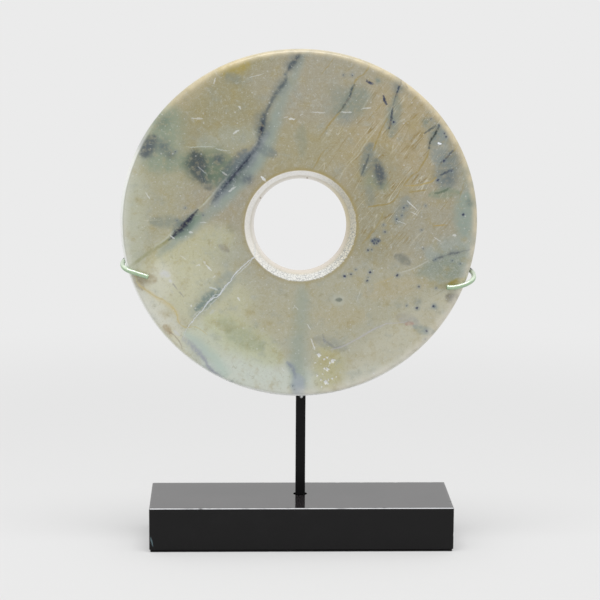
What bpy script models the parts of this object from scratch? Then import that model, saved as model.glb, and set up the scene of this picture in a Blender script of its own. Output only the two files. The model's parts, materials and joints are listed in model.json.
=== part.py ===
"""A jade bi disc held upright on its small stand.

A square rod rises from a polished black plinth and two bent wire arms carry the disc by its rim.
Metres, +Z up. The origin is the middle of the underside, X runs along the plinth, and the disc's
front face looks along -Y.
"""
import math
from dataclasses import dataclass

import bmesh
import bpy
from mathutils import Vector

# Plinth and the thin pad under it
PLINTH_WIDTH = 0.198
PLINTH_DEPTH = 0.067
PLINTH_HEIGHT = 0.02785
PLINTH_CHAMFER = 0.0006
FELT_THICKNESS = 0.0012
FELT_INSET = 0.001

# Square rod, which stands in a round socket behind the middle of the plinth
ROD_SIDE = 0.0063
ROD_CORNER = 0.0004
ROD_SETBACK = 0.0037
ROD_RISE_BEHIND_DISC = 0.045
SOCKET_DEPTH = 0.020
SOCKET_CLEARANCE = 0.0003
SOCKET_SEGMENTS = 48

# Stone disc: its rim is a little wider than high, and its hole is a little off the middle.
# The hole narrows from both faces to a ridge, which is its smallest radius.
DISC_WIDTH = 0.2295
DISC_HEIGHT = 0.2251
DISC_THICKNESS = 0.0125
DISC_LIFT = 0.070
DISC_SHIFT_X = -0.0016
RIM_LOBE = 0.00033
RIM_ROUND = 0.003
RIM_ARC_SEGMENTS = 4
HOLE_SHIFT_X = 0.0002
HOLE_SHIFT_Z = -0.0008
HOLE_RADIUS = 0.0299
HOLE_FRONT_FLARE = 0.00575
HOLE_BACK_FLARE = 0.0026
RIDGE_ABOVE_BACK = 0.004
RIDGE_ROUND = 0.0012
DISC_SEGMENTS = 96

# Wire arms, each bent into a hook around the rim
WIRE_DIAMETER = 0.003
WIRE_POINTS_PER_BEND = 14
WIRE_POINTS_PER_LEG = 3
WIRE_POINTS_PER_RUN = 14
BEND_SQUARENESS = 2.3
LEG_LENGTH = 0.0085
ARM_ROOT_BELOW_ROD_TOP = 0.006
ARM_ROOT_HANDLE = 0.016
ARM_RIM_HANDLE = 0.014

# Small clear pad between the rod and the stone, whose lower end shows under the rim
RIM_PAD_WIDTH = 0.0020
RIM_PAD_THICKNESS = 0.0008
RIM_PAD_LENGTH = 0.016
RIM_PAD_DROP = 0.0042
RIM_PAD_SHIFT_X = 0.0004

# Pieces that touch are kept this far apart
CONTACT_GAP = 0.0003


@dataclass(frozen=True)
class Hook:
    """How one arm passes the rim: drops run along the rim, downwards, and rises upwards."""

    side: int
    angle_below_level: float
    stand_off: float
    front_drop: float
    back_rise: float
    tip_drop: float
    leg_curl: float


LEFT_HOOK = Hook(-1, math.radians(13.2), 0.0016, 0.0053, 0.0029, 0.0105, 0.0)
RIGHT_HOOK = Hook(1, math.radians(16.9), 0.0027, 0.0073, 0.0032, 0.0108, 0.7)

# Heights and planes that follow from the sizes
PLINTH_UNDERSIDE = FELT_THICKNESS + CONTACT_GAP
PLINTH_TOP = PLINTH_UNDERSIDE + PLINTH_HEIGHT
ROD_FRONT = ROD_SETBACK - ROD_SIDE / 2
DISC_BACK = ROD_FRONT - RIM_PAD_THICKNESS - 2 * CONTACT_GAP
DISC_MIDDLE = DISC_BACK - DISC_THICKNESS / 2
DISC_BOTTOM = PLINTH_TOP + DISC_LIFT
DISC_CENTRE_Z = DISC_BOTTOM + DISC_HEIGHT / 2
ROD_FOOT = PLINTH_TOP - SOCKET_DEPTH + CONTACT_GAP
ROD_TOP = DISC_BOTTOM + ROD_RISE_BEHIND_DISC
WIRE_RADIUS = WIRE_DIAMETER / 2
RIM_RADIUS = (DISC_WIDTH + DISC_HEIGHT) / 4
RIM_OVAL = (DISC_WIDTH - DISC_HEIGHT) / 4
HOLE_FRONT_RADIUS = HOLE_RADIUS + HOLE_FRONT_FLARE
HOLE_BACK_RADIUS = HOLE_RADIUS + HOLE_BACK_FLARE


def clear_scene():
    for obj in list(bpy.data.objects):
        bpy.data.objects.remove(obj, do_unlink=True)


def new_collection(name):
    collection = bpy.data.collections.new(name)
    bpy.context.scene.collection.children.link(collection)
    return collection


def material(name, colour, roughness, metallic=0.0):
    made = bpy.data.materials.new(name)
    made.use_nodes = True
    shader = made.node_tree.nodes["Principled BSDF"]
    shader.inputs["Base Color"].default_value = (*colour, 1.0)
    shader.inputs["Roughness"].default_value = roughness
    shader.inputs["Metallic"].default_value = metallic
    return made


def mesh_object(name, mesh, collection, finish=None):
    obj = bpy.data.objects.new(name, mesh)
    collection.objects.link(obj)
    if finish is not None:
        mesh.materials.append(finish)
    return obj


def shade_round(mesh, sharp_angle=math.radians(35)):
    mesh.shade_smooth()
    mesh.set_sharp_from_angle(angle=sharp_angle)


def box(name, size, collection, finish):
    mesh = bpy.data.meshes.new(name)
    shape = bmesh.new()
    bmesh.ops.create_cube(shape, size=1.0)
    bmesh.ops.scale(shape, vec=size, verts=shape.verts)
    shape.to_mesh(mesh)
    shape.free()
    return mesh_object(name, mesh, collection, finish)


def bevel_edges(obj, width, segments):
    bevel = obj.modifiers.new("edges", 'BEVEL')
    bevel.width = width
    bevel.segments = segments
    bevel.limit_method = 'ANGLE'


def mesh_from_evaluated(obj, collection):
    """Replace an object by the mesh it evaluates to, with its loose seams and caps merged."""
    bpy.context.view_layer.update()
    depsgraph = bpy.context.evaluated_depsgraph_get()
    mesh = bpy.data.meshes.new_from_object(obj.evaluated_get(depsgraph))
    shape = bmesh.new()
    shape.from_mesh(mesh)
    bmesh.ops.remove_doubles(shape, verts=shape.verts, dist=0.00001)
    shape.to_mesh(mesh)
    shape.free()
    name = obj.name
    matrix = obj.matrix_world.copy()
    bpy.data.objects.remove(obj, do_unlink=True)
    made = mesh_object(name, mesh, collection)
    made.matrix_world = matrix
    return made


def arc(centre, radius, start, end, segments):
    """Points (radius, height) along an arc, its ends included; angles in degrees."""
    points = []
    for step in range(segments + 1):
        angle = math.radians(start + (end - start) * step / segments)
        points.append((centre[0] + radius * math.cos(angle), centre[1] + radius * math.sin(angle)))
    return points


def rim_radius(angle):
    """The rim's distance from its own centre, at an angle from +X towards +Z."""
    return RIM_RADIUS + RIM_OVAL * math.cos(2 * angle) + RIM_LOBE * math.sin(3 * angle)


def rim_point(angle):
    """The rim's point in the disc's own plane, as world X and Z."""
    reach = rim_radius(angle)
    return Vector((DISC_SHIFT_X + reach * math.cos(angle), DISC_CENTRE_Z + reach * math.sin(angle)))


def disc_profile():
    """The ring's section as (radius, height), clockwise from the hole's edge on the front face."""
    half = DISC_THICKNESS / 2
    corner = RIM_RADIUS - RIM_ROUND
    ridge = arc((HOLE_RADIUS + RIDGE_ROUND, RIDGE_ABOVE_BACK - half), RIDGE_ROUND, 215, 145, 3)
    profile = [(HOLE_FRONT_RADIUS, half)]
    profile += arc((corner, half - RIM_ROUND), RIM_ROUND, 90, 0, RIM_ARC_SEGMENTS)
    profile += arc((corner, RIM_ROUND - half), RIM_ROUND, 0, -90, RIM_ARC_SEGMENTS)
    profile += [(HOLE_BACK_RADIUS, -half)]
    profile += ridge
    return profile


def make_disc(collection, finish):
    profile = disc_profile()
    mesh = bpy.data.meshes.new("jade_disc")
    shape = bmesh.new()
    corners = [shape.verts.new((radius, 0.0, height)) for radius, height in profile]
    for first, second in zip(corners, corners[1:] + corners[:1]):
        shape.edges.new((first, second))
    shape.to_mesh(mesh)
    shape.free()
    disc = mesh_object("jade_disc", mesh, collection)
    turn = disc.modifiers.new("turn", 'SCREW')
    turn.axis = 'Z'
    turn.steps = DISC_SEGMENTS
    turn.render_steps = DISC_SEGMENTS
    turn.use_merge_vertices = True
    turn.merge_threshold = 0.00001
    disc = mesh_from_evaluated(disc, collection)
    push_out_of_round(disc.data)
    disc.data.materials.append(finish)
    shade_round(disc.data)
    disc.location = (DISC_SHIFT_X + HOLE_SHIFT_X, DISC_MIDDLE, DISC_CENTRE_Z + HOLE_SHIFT_Z)
    disc.rotation_euler = (math.radians(90), 0, 0)
    return disc


def push_out_of_round(mesh):
    """Keep the hole round and bring the rim to its own outline and centre."""
    for vertex in mesh.vertices:
        reach = math.hypot(vertex.co.x, vertex.co.y)
        share = (reach - HOLE_FRONT_RADIUS) / (RIM_RADIUS - HOLE_FRONT_RADIUS)
        share = min(max(share, 0.0), 1.0)
        angle = math.atan2(vertex.co.y, vertex.co.x)
        stretch = 1 + share * (rim_radius(angle) / RIM_RADIUS - 1)
        vertex.co.x = vertex.co.x * stretch - share * HOLE_SHIFT_X
        vertex.co.y = vertex.co.y * stretch - share * HOLE_SHIFT_Z


def make_plinth(collection, cutters, finish):
    plinth = box("plinth", (PLINTH_WIDTH, PLINTH_DEPTH, PLINTH_HEIGHT), collection, finish)
    plinth.location = (0, 0, PLINTH_UNDERSIDE + PLINTH_HEIGHT / 2)
    bevel_edges(plinth, PLINTH_CHAMFER, 2)
    socket_mesh = bpy.data.meshes.new("socket_cutter")
    shape = bmesh.new()
    socket_radius = (ROD_SIDE * math.sqrt(2) + SOCKET_CLEARANCE) / 2
    above = 2 * PLINTH_CHAMFER
    bmesh.ops.create_cone(shape, cap_ends=True, segments=SOCKET_SEGMENTS, radius1=socket_radius,
                          radius2=socket_radius, depth=SOCKET_DEPTH + above)
    shape.to_mesh(socket_mesh)
    shape.free()
    socket = mesh_object("socket_cutter", socket_mesh, cutters)
    socket.location = (0, ROD_SETBACK, PLINTH_TOP + (above - SOCKET_DEPTH) / 2)
    socket.hide_render = True
    socket.display_type = 'WIRE'
    cut = plinth.modifiers.new("socket", 'BOOLEAN')
    cut.operation = 'DIFFERENCE'
    cut.object = socket
    return plinth


def make_felt(collection, finish):
    size = (PLINTH_WIDTH - 2 * FELT_INSET, PLINTH_DEPTH - 2 * FELT_INSET, FELT_THICKNESS)
    felt = box("felt_pad", size, collection, finish)
    felt.location = (0, 0, FELT_THICKNESS / 2)
    return felt


def make_rod(collection, finish):
    length = ROD_TOP - ROD_FOOT
    rod = box("upright_rod", (ROD_SIDE, ROD_SIDE, length), collection, finish)
    rod.location = (0, ROD_SETBACK, ROD_FOOT + length / 2)
    bevel_edges(rod, ROD_CORNER, 2)
    return rod


def make_rim_pad(collection, finish):
    """A narrow strip with round ends that stands against the rod's front."""
    outline = bpy.data.curves.new("rim_pad", 'CURVE')
    outline.dimensions = '2D'
    outline.fill_mode = 'BOTH'
    outline.extrude = RIM_PAD_THICKNESS / 2
    radius = RIM_PAD_WIDTH / 2
    reach = RIM_PAD_LENGTH / 2 - radius
    points = arc((0, reach), radius, 0, 180, 6) + arc((0, -reach), radius, 180, 360, 6)
    spline = outline.splines.new('POLY')
    spline.points.add(len(points) - 1)
    for point, (across, up) in zip(spline.points, points):
        point.co = (across, up, 0, 1)
    spline.use_cyclic_u = True
    pad = bpy.data.objects.new("rim_pad", outline)
    collection.objects.link(pad)
    pad = mesh_from_evaluated(pad, collection)
    pad.data.materials.append(finish)
    pad.rotation_euler = (math.radians(90), 0, 0)
    middle_z = DISC_BOTTOM - RIM_PAD_DROP + RIM_PAD_LENGTH / 2
    pad.location = (RIM_PAD_SHIFT_X, ROD_FRONT - CONTACT_GAP - RIM_PAD_THICKNESS / 2, middle_z)
    return pad


def bezier(start, start_handle, end_handle, end, count):
    """Points along one cubic curve, without its first point."""
    points = []
    for step in range(1, count + 1):
        t = step / count
        u = 1 - t
        points.append(start * u ** 3 + start_handle * 3 * u * u * t
                      + end_handle * 3 * u * t * t + end * t ** 3)
    return points


def hook_points(hook):
    """The arm's centreline from the tip on the front face, round the rim and back to the rod."""
    level = -hook.angle_below_level if hook.side > 0 else math.pi + hook.angle_below_level
    rim = rim_point(level)
    outward = Vector((math.cos(level), math.sin(level)))
    downward = Vector((hook.side * math.sin(level), -hook.side * math.cos(level)))
    half_depth = DISC_THICKNESS / 2 + CONTACT_GAP + WIRE_RADIUS

    def place(reach, drop, depth):
        flat = rim + outward * reach + downward * drop
        return Vector((flat.x, DISC_MIDDLE + depth, flat.y))

    points = []
    for step in range(WIRE_POINTS_PER_LEG):
        share = 1 - step / WIRE_POINTS_PER_LEG
        curled = (1 + hook.leg_curl) * share - hook.leg_curl * share * share
        drop = hook.front_drop + (hook.tip_drop - hook.front_drop) * curled
        points.append(place(-RIM_ROUND - LEG_LENGTH * share, drop, -half_depth))
    half_reach = RIM_ROUND + WIRE_RADIUS + hook.stand_off
    power = 2 / BEND_SQUARENESS
    for step in range(WIRE_POINTS_PER_BEND + 1):
        turn = 1 - 2 * step / WIRE_POINTS_PER_BEND
        angle = turn * math.pi / 2
        reach = half_reach * max(math.cos(angle), 0.0) ** power - RIM_ROUND
        depth = -math.copysign(half_depth * abs(math.sin(angle)) ** power, turn)
        even = (hook.front_drop + hook.back_rise) / 2
        extra = (hook.front_drop - hook.back_rise) / 2
        points.append(place(reach, even * turn + extra * turn * turn, depth))
    bend_end = points[-1]
    inward = place(-RIM_ROUND - ARM_RIM_HANDLE, -hook.back_rise, half_depth)
    root_x = hook.side * (ROD_SIDE / 2 + CONTACT_GAP)
    root = Vector((root_x, ROD_SETBACK, ROD_TOP - ARM_ROOT_BELOW_ROD_TOP))
    root_handle = root + Vector((hook.side * ARM_ROOT_HANDLE, 0, 0))
    points += bezier(bend_end, inward, root_handle, root, WIRE_POINTS_PER_RUN)
    return points


def make_arm(name, hook, collection, finish):
    curve = bpy.data.curves.new(name, 'CURVE')
    curve.dimensions = '3D'
    curve.bevel_depth = WIRE_RADIUS
    curve.bevel_resolution = 2
    curve.use_fill_caps = True
    points = hook_points(hook)
    spline = curve.splines.new('POLY')
    spline.points.add(len(points) - 1)
    for point, place in zip(spline.points, points):
        point.co = (*place, 1)
    arm = bpy.data.objects.new(name, curve)
    collection.objects.link(arm)
    arm = mesh_from_evaluated(arm, collection)
    arm.data.materials.append(finish)
    shade_round(arm.data)
    return arm


def main():
    clear_scene()
    pieces = new_collection("jade_bi_disc")
    cutters = new_collection("cutters")
    stand = bpy.data.objects.new("stand", None)
    pieces.objects.link(stand)
    black_stone = material("polished_black_stone", (0.012, 0.012, 0.013), 0.06)
    black_felt = material("black_felt", (0.010, 0.010, 0.010), 0.95)
    black_steel = material("blackened_steel", (0.014, 0.013, 0.014), 0.35, 0.6)
    clear_pad = material("clear_pad", (0.75, 0.76, 0.76), 0.30)
    green_paint = material("pale_green_paint", (0.42, 0.53, 0.37), 0.22)
    jade = material("olive_jade", (0.42, 0.39, 0.27), 0.30)
    made = [
        make_felt(pieces, black_felt),
        make_plinth(pieces, cutters, black_stone),
        make_rod(pieces, black_steel),
        make_rim_pad(pieces, clear_pad),
        make_arm("left_arm", LEFT_HOOK, pieces, green_paint),
        make_arm("right_arm", RIGHT_HOOK, pieces, green_paint),
        make_disc(pieces, jade),
    ]
    for piece in made:
        piece.parent = stand


main()
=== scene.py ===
"""The looks of a jade bi disc on its stand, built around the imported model.

Metres, +Z up. X runs along the plinth and the disc's front face looks along -Y. Places on the stone's
face are written in millimetres from the middle of its hole: x to the right, z upwards.
"""

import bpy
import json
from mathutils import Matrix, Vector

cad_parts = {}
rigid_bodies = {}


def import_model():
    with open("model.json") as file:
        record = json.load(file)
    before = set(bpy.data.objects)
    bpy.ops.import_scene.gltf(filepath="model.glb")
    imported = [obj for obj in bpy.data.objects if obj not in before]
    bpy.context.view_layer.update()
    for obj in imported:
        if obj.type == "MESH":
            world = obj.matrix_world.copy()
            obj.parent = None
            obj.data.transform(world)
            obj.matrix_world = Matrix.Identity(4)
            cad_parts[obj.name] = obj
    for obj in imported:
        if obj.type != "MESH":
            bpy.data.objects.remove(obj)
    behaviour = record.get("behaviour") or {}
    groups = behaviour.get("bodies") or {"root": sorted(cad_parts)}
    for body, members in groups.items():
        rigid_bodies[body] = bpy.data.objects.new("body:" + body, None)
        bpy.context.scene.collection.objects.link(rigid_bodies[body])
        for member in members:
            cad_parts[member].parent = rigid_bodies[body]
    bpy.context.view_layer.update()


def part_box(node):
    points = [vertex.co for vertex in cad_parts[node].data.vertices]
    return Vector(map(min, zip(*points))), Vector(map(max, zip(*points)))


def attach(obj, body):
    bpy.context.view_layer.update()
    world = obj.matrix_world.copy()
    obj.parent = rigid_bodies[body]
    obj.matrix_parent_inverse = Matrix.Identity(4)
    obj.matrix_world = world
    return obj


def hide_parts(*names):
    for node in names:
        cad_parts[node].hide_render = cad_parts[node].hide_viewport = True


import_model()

import json
import logging
import math
from dataclasses import dataclass
from enum import Enum
from typing import Callable, Iterable, Sequence

import bpy
from mathutils import Matrix, Vector, noise

MM = 0.001
BODY = "root"

Colour = tuple[float, float, float]

log = logging.getLogger("bi_disc")


# Colour helpers

def linear(channel: float) -> float:
    """Turn one screen channel, 0 to 255, into the linear value that shaders use."""
    share = channel / 255
    return share / 12.92 if share <= 0.04045 else ((share + 0.055) / 1.055) ** 2.4


def tone(colour: Colour) -> tuple[float, float, float, float]:
    """Turn a screen colour into a linear one with its alpha."""
    red, green, blue = (linear(channel) for channel in colour)
    return (red, green, blue, 1.0)


# How bright the studio makes a white matt stone in each channel, the grey that its gloss adds, and the
# darkest colour that the stone may have
STONE_LIGHT = (1.015, 0.975, 0.896)
STONE_GLOSS = 0.030
DARKEST = 0.002


def lit(colour: Colour) -> tuple[float, float, float, float]:
    """Give the stone's own colour where it has to look like a screen colour under the studio's light."""
    red, green, blue = (max(linear(channel) - STONE_GLOSS, DARKEST) / light
                        for channel, light in zip(colour, STONE_LIGHT))
    return (red, green, blue, 1.0)


# Shader tools

class Value:
    """A number or vector that varies over a surface, with arithmetic on its socket."""

    def __init__(self, graph: "Graph", socket: bpy.types.NodeSocket) -> None:
        """Keep the socket and the graph it belongs to."""
        self.graph = graph
        self.socket = socket

    def __add__(self, other: "Value | float") -> "Value":
        """Add a value or a number."""
        return self.graph.maths('ADD', self, other)

    def __sub__(self, other: "Value | float") -> "Value":
        """Take a value or a number away."""
        return self.graph.maths('SUBTRACT', self, other)

    def __mul__(self, other: "Value | float") -> "Value":
        """Multiply by a value or a number."""
        return self.graph.maths('MULTIPLY', self, other)

    def __truediv__(self, other: "Value | float") -> "Value":
        """Divide by a value or a number."""
        return self.graph.maths('DIVIDE', self, other)

    def __rsub__(self, other: float) -> "Value":
        """Take this value away from a number."""
        return self.graph.maths('SUBTRACT', other, self)

    __radd__ = __add__
    __rmul__ = __mul__

    def __abs__(self) -> "Value":
        """Drop the sign."""
        return self.graph.maths('ABSOLUTE', self)

    def most(self, other: "Value | float") -> "Value":
        """Keep the larger of two values."""
        return self.graph.maths('MAXIMUM', self, other)

    def least(self, other: "Value | float") -> "Value":
        """Keep the smaller of two values."""
        return self.graph.maths('MINIMUM', self, other)

    def fade(self, start: float, end: float, first: float = 0.0, last: float = 1.0) -> "Value":
        """Ease from one number to another while this value goes from start to end.

        Args:
            start: The value where the change begins.
            end: The value where it is complete. It may be smaller than start.
            first: The result before the change.
            last: The result after it.

        Returns:
            The eased value.
        """
        if start > end:
            start, end, first, last = end, start, last, first
        settings = {"interpolation_type": 'SMOOTHSTEP', "clamp": False}
        return self.graph.value("Result", 'ShaderNodeMapRange', settings, {
            "Value": self, "From Min": start, "From Max": end, "To Min": first, "To Max": last})


Feed = Value | float | Sequence[float]


class Graph:
    """The node tree of one material or of the world."""

    SOCKETS = {'VALUE': 'NodeSocketFloat', 'VECTOR': 'NodeSocketVector', 'RGBA': 'NodeSocketColor'}

    def __init__(self, tree: bpy.types.NodeTree) -> None:
        """Empty the tree, ready for new nodes."""
        self.tree = tree
        tree.nodes.clear()

    def layer(self, name: str, paint: Callable[..., Value], *feeds: Value) -> Value:
        """Work out part of a pattern in a node group of its own.

        Args:
            name: The group's name.
            paint: Takes the group and the feeds inside it and gives the result.
            feeds: What the group reads.

        Returns:
            The group's result.
        """
        tree = bpy.data.node_groups.new(name, 'ShaderNodeTree')
        for number, feed in enumerate(feeds):
            tree.interface.new_socket(f"feed {number}", in_out='INPUT',
                                      socket_type=self.SOCKETS[feed.socket.type])
        inner = Graph(tree)
        source = inner.node('NodeGroupInput')
        result = paint(inner, *(Value(inner, source.outputs[number]) for number in range(len(feeds))))
        tree.interface.new_socket("result", in_out='OUTPUT', socket_type=self.SOCKETS[result.socket.type])
        inner.node('NodeGroupOutput', None, {0: result})
        return self.value(0, 'ShaderNodeGroup', {"node_tree": tree}, dict(enumerate(feeds)))

    def node(self, kind: str, settings: dict | None = None, feeds: dict | None = None) -> bpy.types.Node:
        """Add one node.

        Args:
            kind: The node's type name.
            settings: Its properties, set first. "curve" holds a float curve's points.
            feeds: Values or links for its inputs, by name, identifier or number.

        Returns:
            The new node.
        """
        made = self.tree.nodes.new(kind)
        for name, setting in (settings or {}).items():
            if name == "curve":
                self._draw_curve(made.mapping, setting)
            else:
                setattr(made, name, setting)
        for key, feed in (feeds or {}).items():
            self._feed(self._find(made.inputs, key), feed)
        return made

    def value(self, output: str | int, kind: str, settings: dict | None = None,
              feeds: dict | None = None) -> Value:
        """Add one node, as node does, and give one of its outputs."""
        return Value(self, self._find(self.node(kind, settings, feeds).outputs, output))

    @staticmethod
    def _draw_curve(mapping: bpy.types.CurveMapping, points: Sequence[tuple[float, float]]) -> None:
        """Lay a float curve through points that run from 0 to 1."""
        mapping.extend = 'HORIZONTAL'
        curve = mapping.curves[0]
        while len(curve.points) < len(points):
            curve.points.new(0.5, 0.5)
        for point, place in zip(curve.points, points):
            point.location = place
            point.handle_type = 'AUTO_CLAMPED'
        mapping.update()

    @staticmethod
    def _find(sockets: Sequence, key: str | int) -> bpy.types.NodeSocket:
        """Find a socket by identifier, name or number."""
        for socket in sockets:
            if socket.identifier == key:
                return socket
        return sockets[key]

    def _feed(self, socket: bpy.types.NodeSocket, feed: Feed) -> None:
        """Link a value to an input, or set the input's own number."""
        if isinstance(feed, Value):
            self.tree.links.new(feed.socket, socket)
        else:
            socket.default_value = feed

    def maths(self, operation: str, *feeds: Feed) -> Value:
        """Add a Math node."""
        return self.value(0, 'ShaderNodeMath', {"operation": operation}, dict(enumerate(feeds)))

    def vector(self, operation: str, *feeds: Feed) -> Value:
        """Add a Vector Math node whose result is a vector."""
        return self.value("Vector", 'ShaderNodeVectorMath', {"operation": operation}, dict(enumerate(feeds)))

    def measure(self, operation: str, *feeds: Feed) -> Value:
        """Add a Vector Math node whose result is a number, such as a length or a distance."""
        return self.value("Value", 'ShaderNodeVectorMath', {"operation": operation}, dict(enumerate(feeds)))

    def place(self, vector: Value, location: Sequence[float], turn: float = 0.0,
              size: Sequence[float] = (1.0, 1.0, 1.0)) -> Value:
        """Measure a vector from a place, turned about Z, in units of a size."""
        return self.value("Vector", 'ShaderNodeMapping', {"vector_type": 'TEXTURE'},
                          {"Vector": vector, "Location": location, "Rotation": (0.0, 0.0, turn),
                           "Scale": size})

    def split(self, vector: Value) -> tuple[Value, Value, Value]:
        """Give a vector's three parts."""
        x, y, z = self.node('ShaderNodeSeparateXYZ', None, {0: vector}).outputs
        return Value(self, x), Value(self, y), Value(self, z)

    def join(self, x: Feed, y: Feed, z: Feed) -> Value:
        """Make a vector from three parts."""
        return self.value(0, 'ShaderNodeCombineXYZ', None, {0: x, 1: y, 2: z})

    def mix(self, below: Feed, above: Feed, share: Feed) -> Value:
        """Lay one colour over another by a share."""
        return self.value("Result_Color", 'ShaderNodeMix', {"data_type": 'RGBA'},
                          {"Factor_Float": share, "A_Color": below, "B_Color": above})

    def grain(self, vector: Value, scale: float, detail: float = 2.0, roughness: float = 0.5,
              warp: float = 0.0) -> Value:
        """Give a noise from 0 to 1 whose features are about 1 / scale across."""
        return self.value("Fac", 'ShaderNodeTexNoise', None,
                          {"Vector": vector, "Scale": scale, "Detail": detail, "Roughness": roughness,
                           "Distortion": warp})

    def drift(self, vector: Value, scale: float, reach: float, detail: float = 1.0,
              guide: Value | None = None) -> Value:
        """Push a vector about by a noise.

        Args:
            vector: What is pushed.
            scale: The noise's scale.
            reach: How far it moves from end to end of the noise.
            detail: The noise's detail.
            guide: Where the noise is read, if that is somewhere else. The push is then flat.

        Returns:
            The moved vector.
        """
        coloured = self.value("Color", 'ShaderNodeTexNoise', None,
                              {"Vector": guide or vector, "Scale": scale, "Detail": detail})
        span = Vector((reach, reach, 0.0 if guide else reach))
        push = self.vector('MULTIPLY_ADD', coloured, span, span * -0.5)
        return self.vector('ADD', vector, push)

    def cells(self, vector: Value, flat: bool = True, scale: float = 1.0,
              feature: str = 'F1') -> tuple[Value, Value]:
        """Give the distance in a field of scattered cells and, except for edges, each cell's own number."""
        settings = {"voronoi_dimensions": '2D' if flat else '3D', "feature": feature}
        made = self.node('ShaderNodeTexVoronoi', settings, {"Vector": vector, "Scale": scale})
        number = made.outputs["Color"] if feature == 'F1' else made.outputs["Distance"]
        return Value(self, made.outputs["Distance"]), Value(self, number)

    def attribute(self, name: str) -> Value:
        """Read a number that the mesh holds at its vertices."""
        return self.value("Fac", 'ShaderNodeAttribute', {"attribute_name": name})

    def bump(self, height: Value, depth: float, strength: float = 1.0) -> Value:
        """Turn a height from 0 to 1 into a bumped normal."""
        return self.value("Normal", 'ShaderNodeBump', None,
                          {"Height": height, "Distance": depth, "Strength": strength})


class Material(Graph):
    """A material with one Principled shader, patterned on Object coordinates in millimetres."""

    def __init__(self, name: str, centre: Sequence[float] = (0.0, 0.0, 0.0)) -> None:
        """Start the material and its coordinates, in millimetres from a centre given in metres."""
        self.material = bpy.data.materials.new(name)
        self.material.use_nodes = True
        super().__init__(self.material.node_tree)
        self.here = self.place(self.value("Object", 'ShaderNodeTexCoord'), centre, 0.0, (MM, MM, MM))

    def finish(self, feeds: dict) -> bpy.types.Material:
        """Add the shader and the output.

        Args:
            feeds: The shader's inputs by name.

        Returns:
            The material.
        """
        shader = self.value("BSDF", 'ShaderNodeBsdfPrincipled', None, feeds)
        self.node('ShaderNodeOutputMaterial', None, {"Surface": shader})
        return self.material


# Modelling tools

def deselect_everything() -> None:
    """Leave nothing selected, so that an operator acts on new geometry only."""
    for item in bpy.context.view_layer.objects:
        item.select_set(False)


def choose(obj: bpy.types.Object) -> None:
    """Select one object alone and make it active."""
    deselect_everything()
    obj.select_set(True)
    bpy.context.view_layer.objects.active = obj


class Primitive(Enum):
    """The operators that start a piece."""

    CUBE = "primitive_cube_add"
    CYLINDER = "primitive_cylinder_add"
    CIRCLE = "primitive_circle_add"
    SPHERE = "primitive_uv_sphere_add"


def start(name: str, kind: Primitive, **options: object) -> bpy.types.Object:
    """Add a primitive at its size and place and put that place in its mesh.

    Args:
        name: The piece's name.
        kind: The primitive.
        options: What its operator takes.

    Returns:
        The new object, at the origin, unturned and unscaled.
    """
    deselect_everything()
    getattr(bpy.ops.mesh, kind.value)(**options)
    obj = bpy.context.active_object
    obj.name = name
    obj.data.name = name
    bpy.ops.object.transform_apply(location=True, rotation=True, scale=True)
    return obj


def block(name: str, low: Vector, high: Vector) -> bpy.types.Object:
    """Add a box between two corners."""
    return start(name, Primitive.CUBE, size=1.0, location=(low + high) / 2, scale=high - low)


def edit(obj: bpy.types.Object) -> None:
    """Open an object in edit mode with nothing selected."""
    choose(obj)
    bpy.ops.object.mode_set(mode='EDIT')
    bpy.ops.mesh.select_all(action='DESELECT')


def done() -> None:
    """Leave edit mode."""
    bpy.ops.object.mode_set(mode='OBJECT')


def start_picking(obj: bpy.types.Object, mode: str) -> None:
    """Set edit mode to edges or faces with none selected, and leave it again."""
    edit(obj)
    bpy.ops.mesh.select_mode(type=mode)
    done()


def pick_edges(obj: bpy.types.Object, wanted: Callable[[Vector, Vector], bool]) -> None:
    """Select the edges whose two ends pass a test, and open the object in edit mode.

    Args:
        obj: The object.
        wanted: Takes the two ends and says whether the edge is meant.
    """
    start_picking(obj, 'EDGE')
    points = obj.data.vertices
    for edge in obj.data.edges:
        edge.select = wanted(points[edge.vertices[0]].co, points[edge.vertices[1]].co)
    bpy.ops.object.mode_set(mode='EDIT')


def pick_faces(obj: bpy.types.Object, wanted: Callable[[Vector, Vector], bool]) -> None:
    """Select the faces whose middle and normal pass a test, and open the object in edit mode.

    Args:
        obj: The object.
        wanted: Takes the middle and the normal and says whether the face is meant.
    """
    start_picking(obj, 'FACE')
    for face in obj.data.polygons:
        face.select = wanted(face.center, face.normal)
    bpy.ops.object.mode_set(mode='EDIT')


def cut_along(obj: bpy.types.Object, axis: int, cuts: int) -> None:
    """Divide a box's edges along one axis, which leaves evenly spaced rows across it.

    Args:
        obj: The box.
        axis: 0, 1 or 2 for X, Y or Z.
        cuts: How many rows.
    """
    def runs_along(first: Vector, second: Vector) -> bool:
        """Tell whether an edge lies along the axis."""
        step = second - first
        return abs(step[axis]) > 0.99 * step.length

    pick_edges(obj, runs_along)
    bpy.ops.mesh.subdivide(number_cuts=cuts)
    done()


def apply_modifier(obj: bpy.types.Object, kind: str, settings: dict) -> None:
    """Put a modifier on an object and apply it.

    Args:
        obj: The object.
        kind: The modifier's type.
        settings: Its properties.
    """
    choose(obj)
    modifier = obj.modifiers.new(kind.lower(), kind)
    for name, setting in settings.items():
        setattr(modifier, name, setting)
    bpy.ops.object.modifier_apply(modifier=modifier.name)


def smooth(obj: bpy.types.Object, angle: float) -> None:
    """Shade an object smooth, but for edges sharper than an angle in degrees."""
    choose(obj)
    bpy.ops.object.shade_smooth_by_angle(angle=math.radians(angle))


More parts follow.
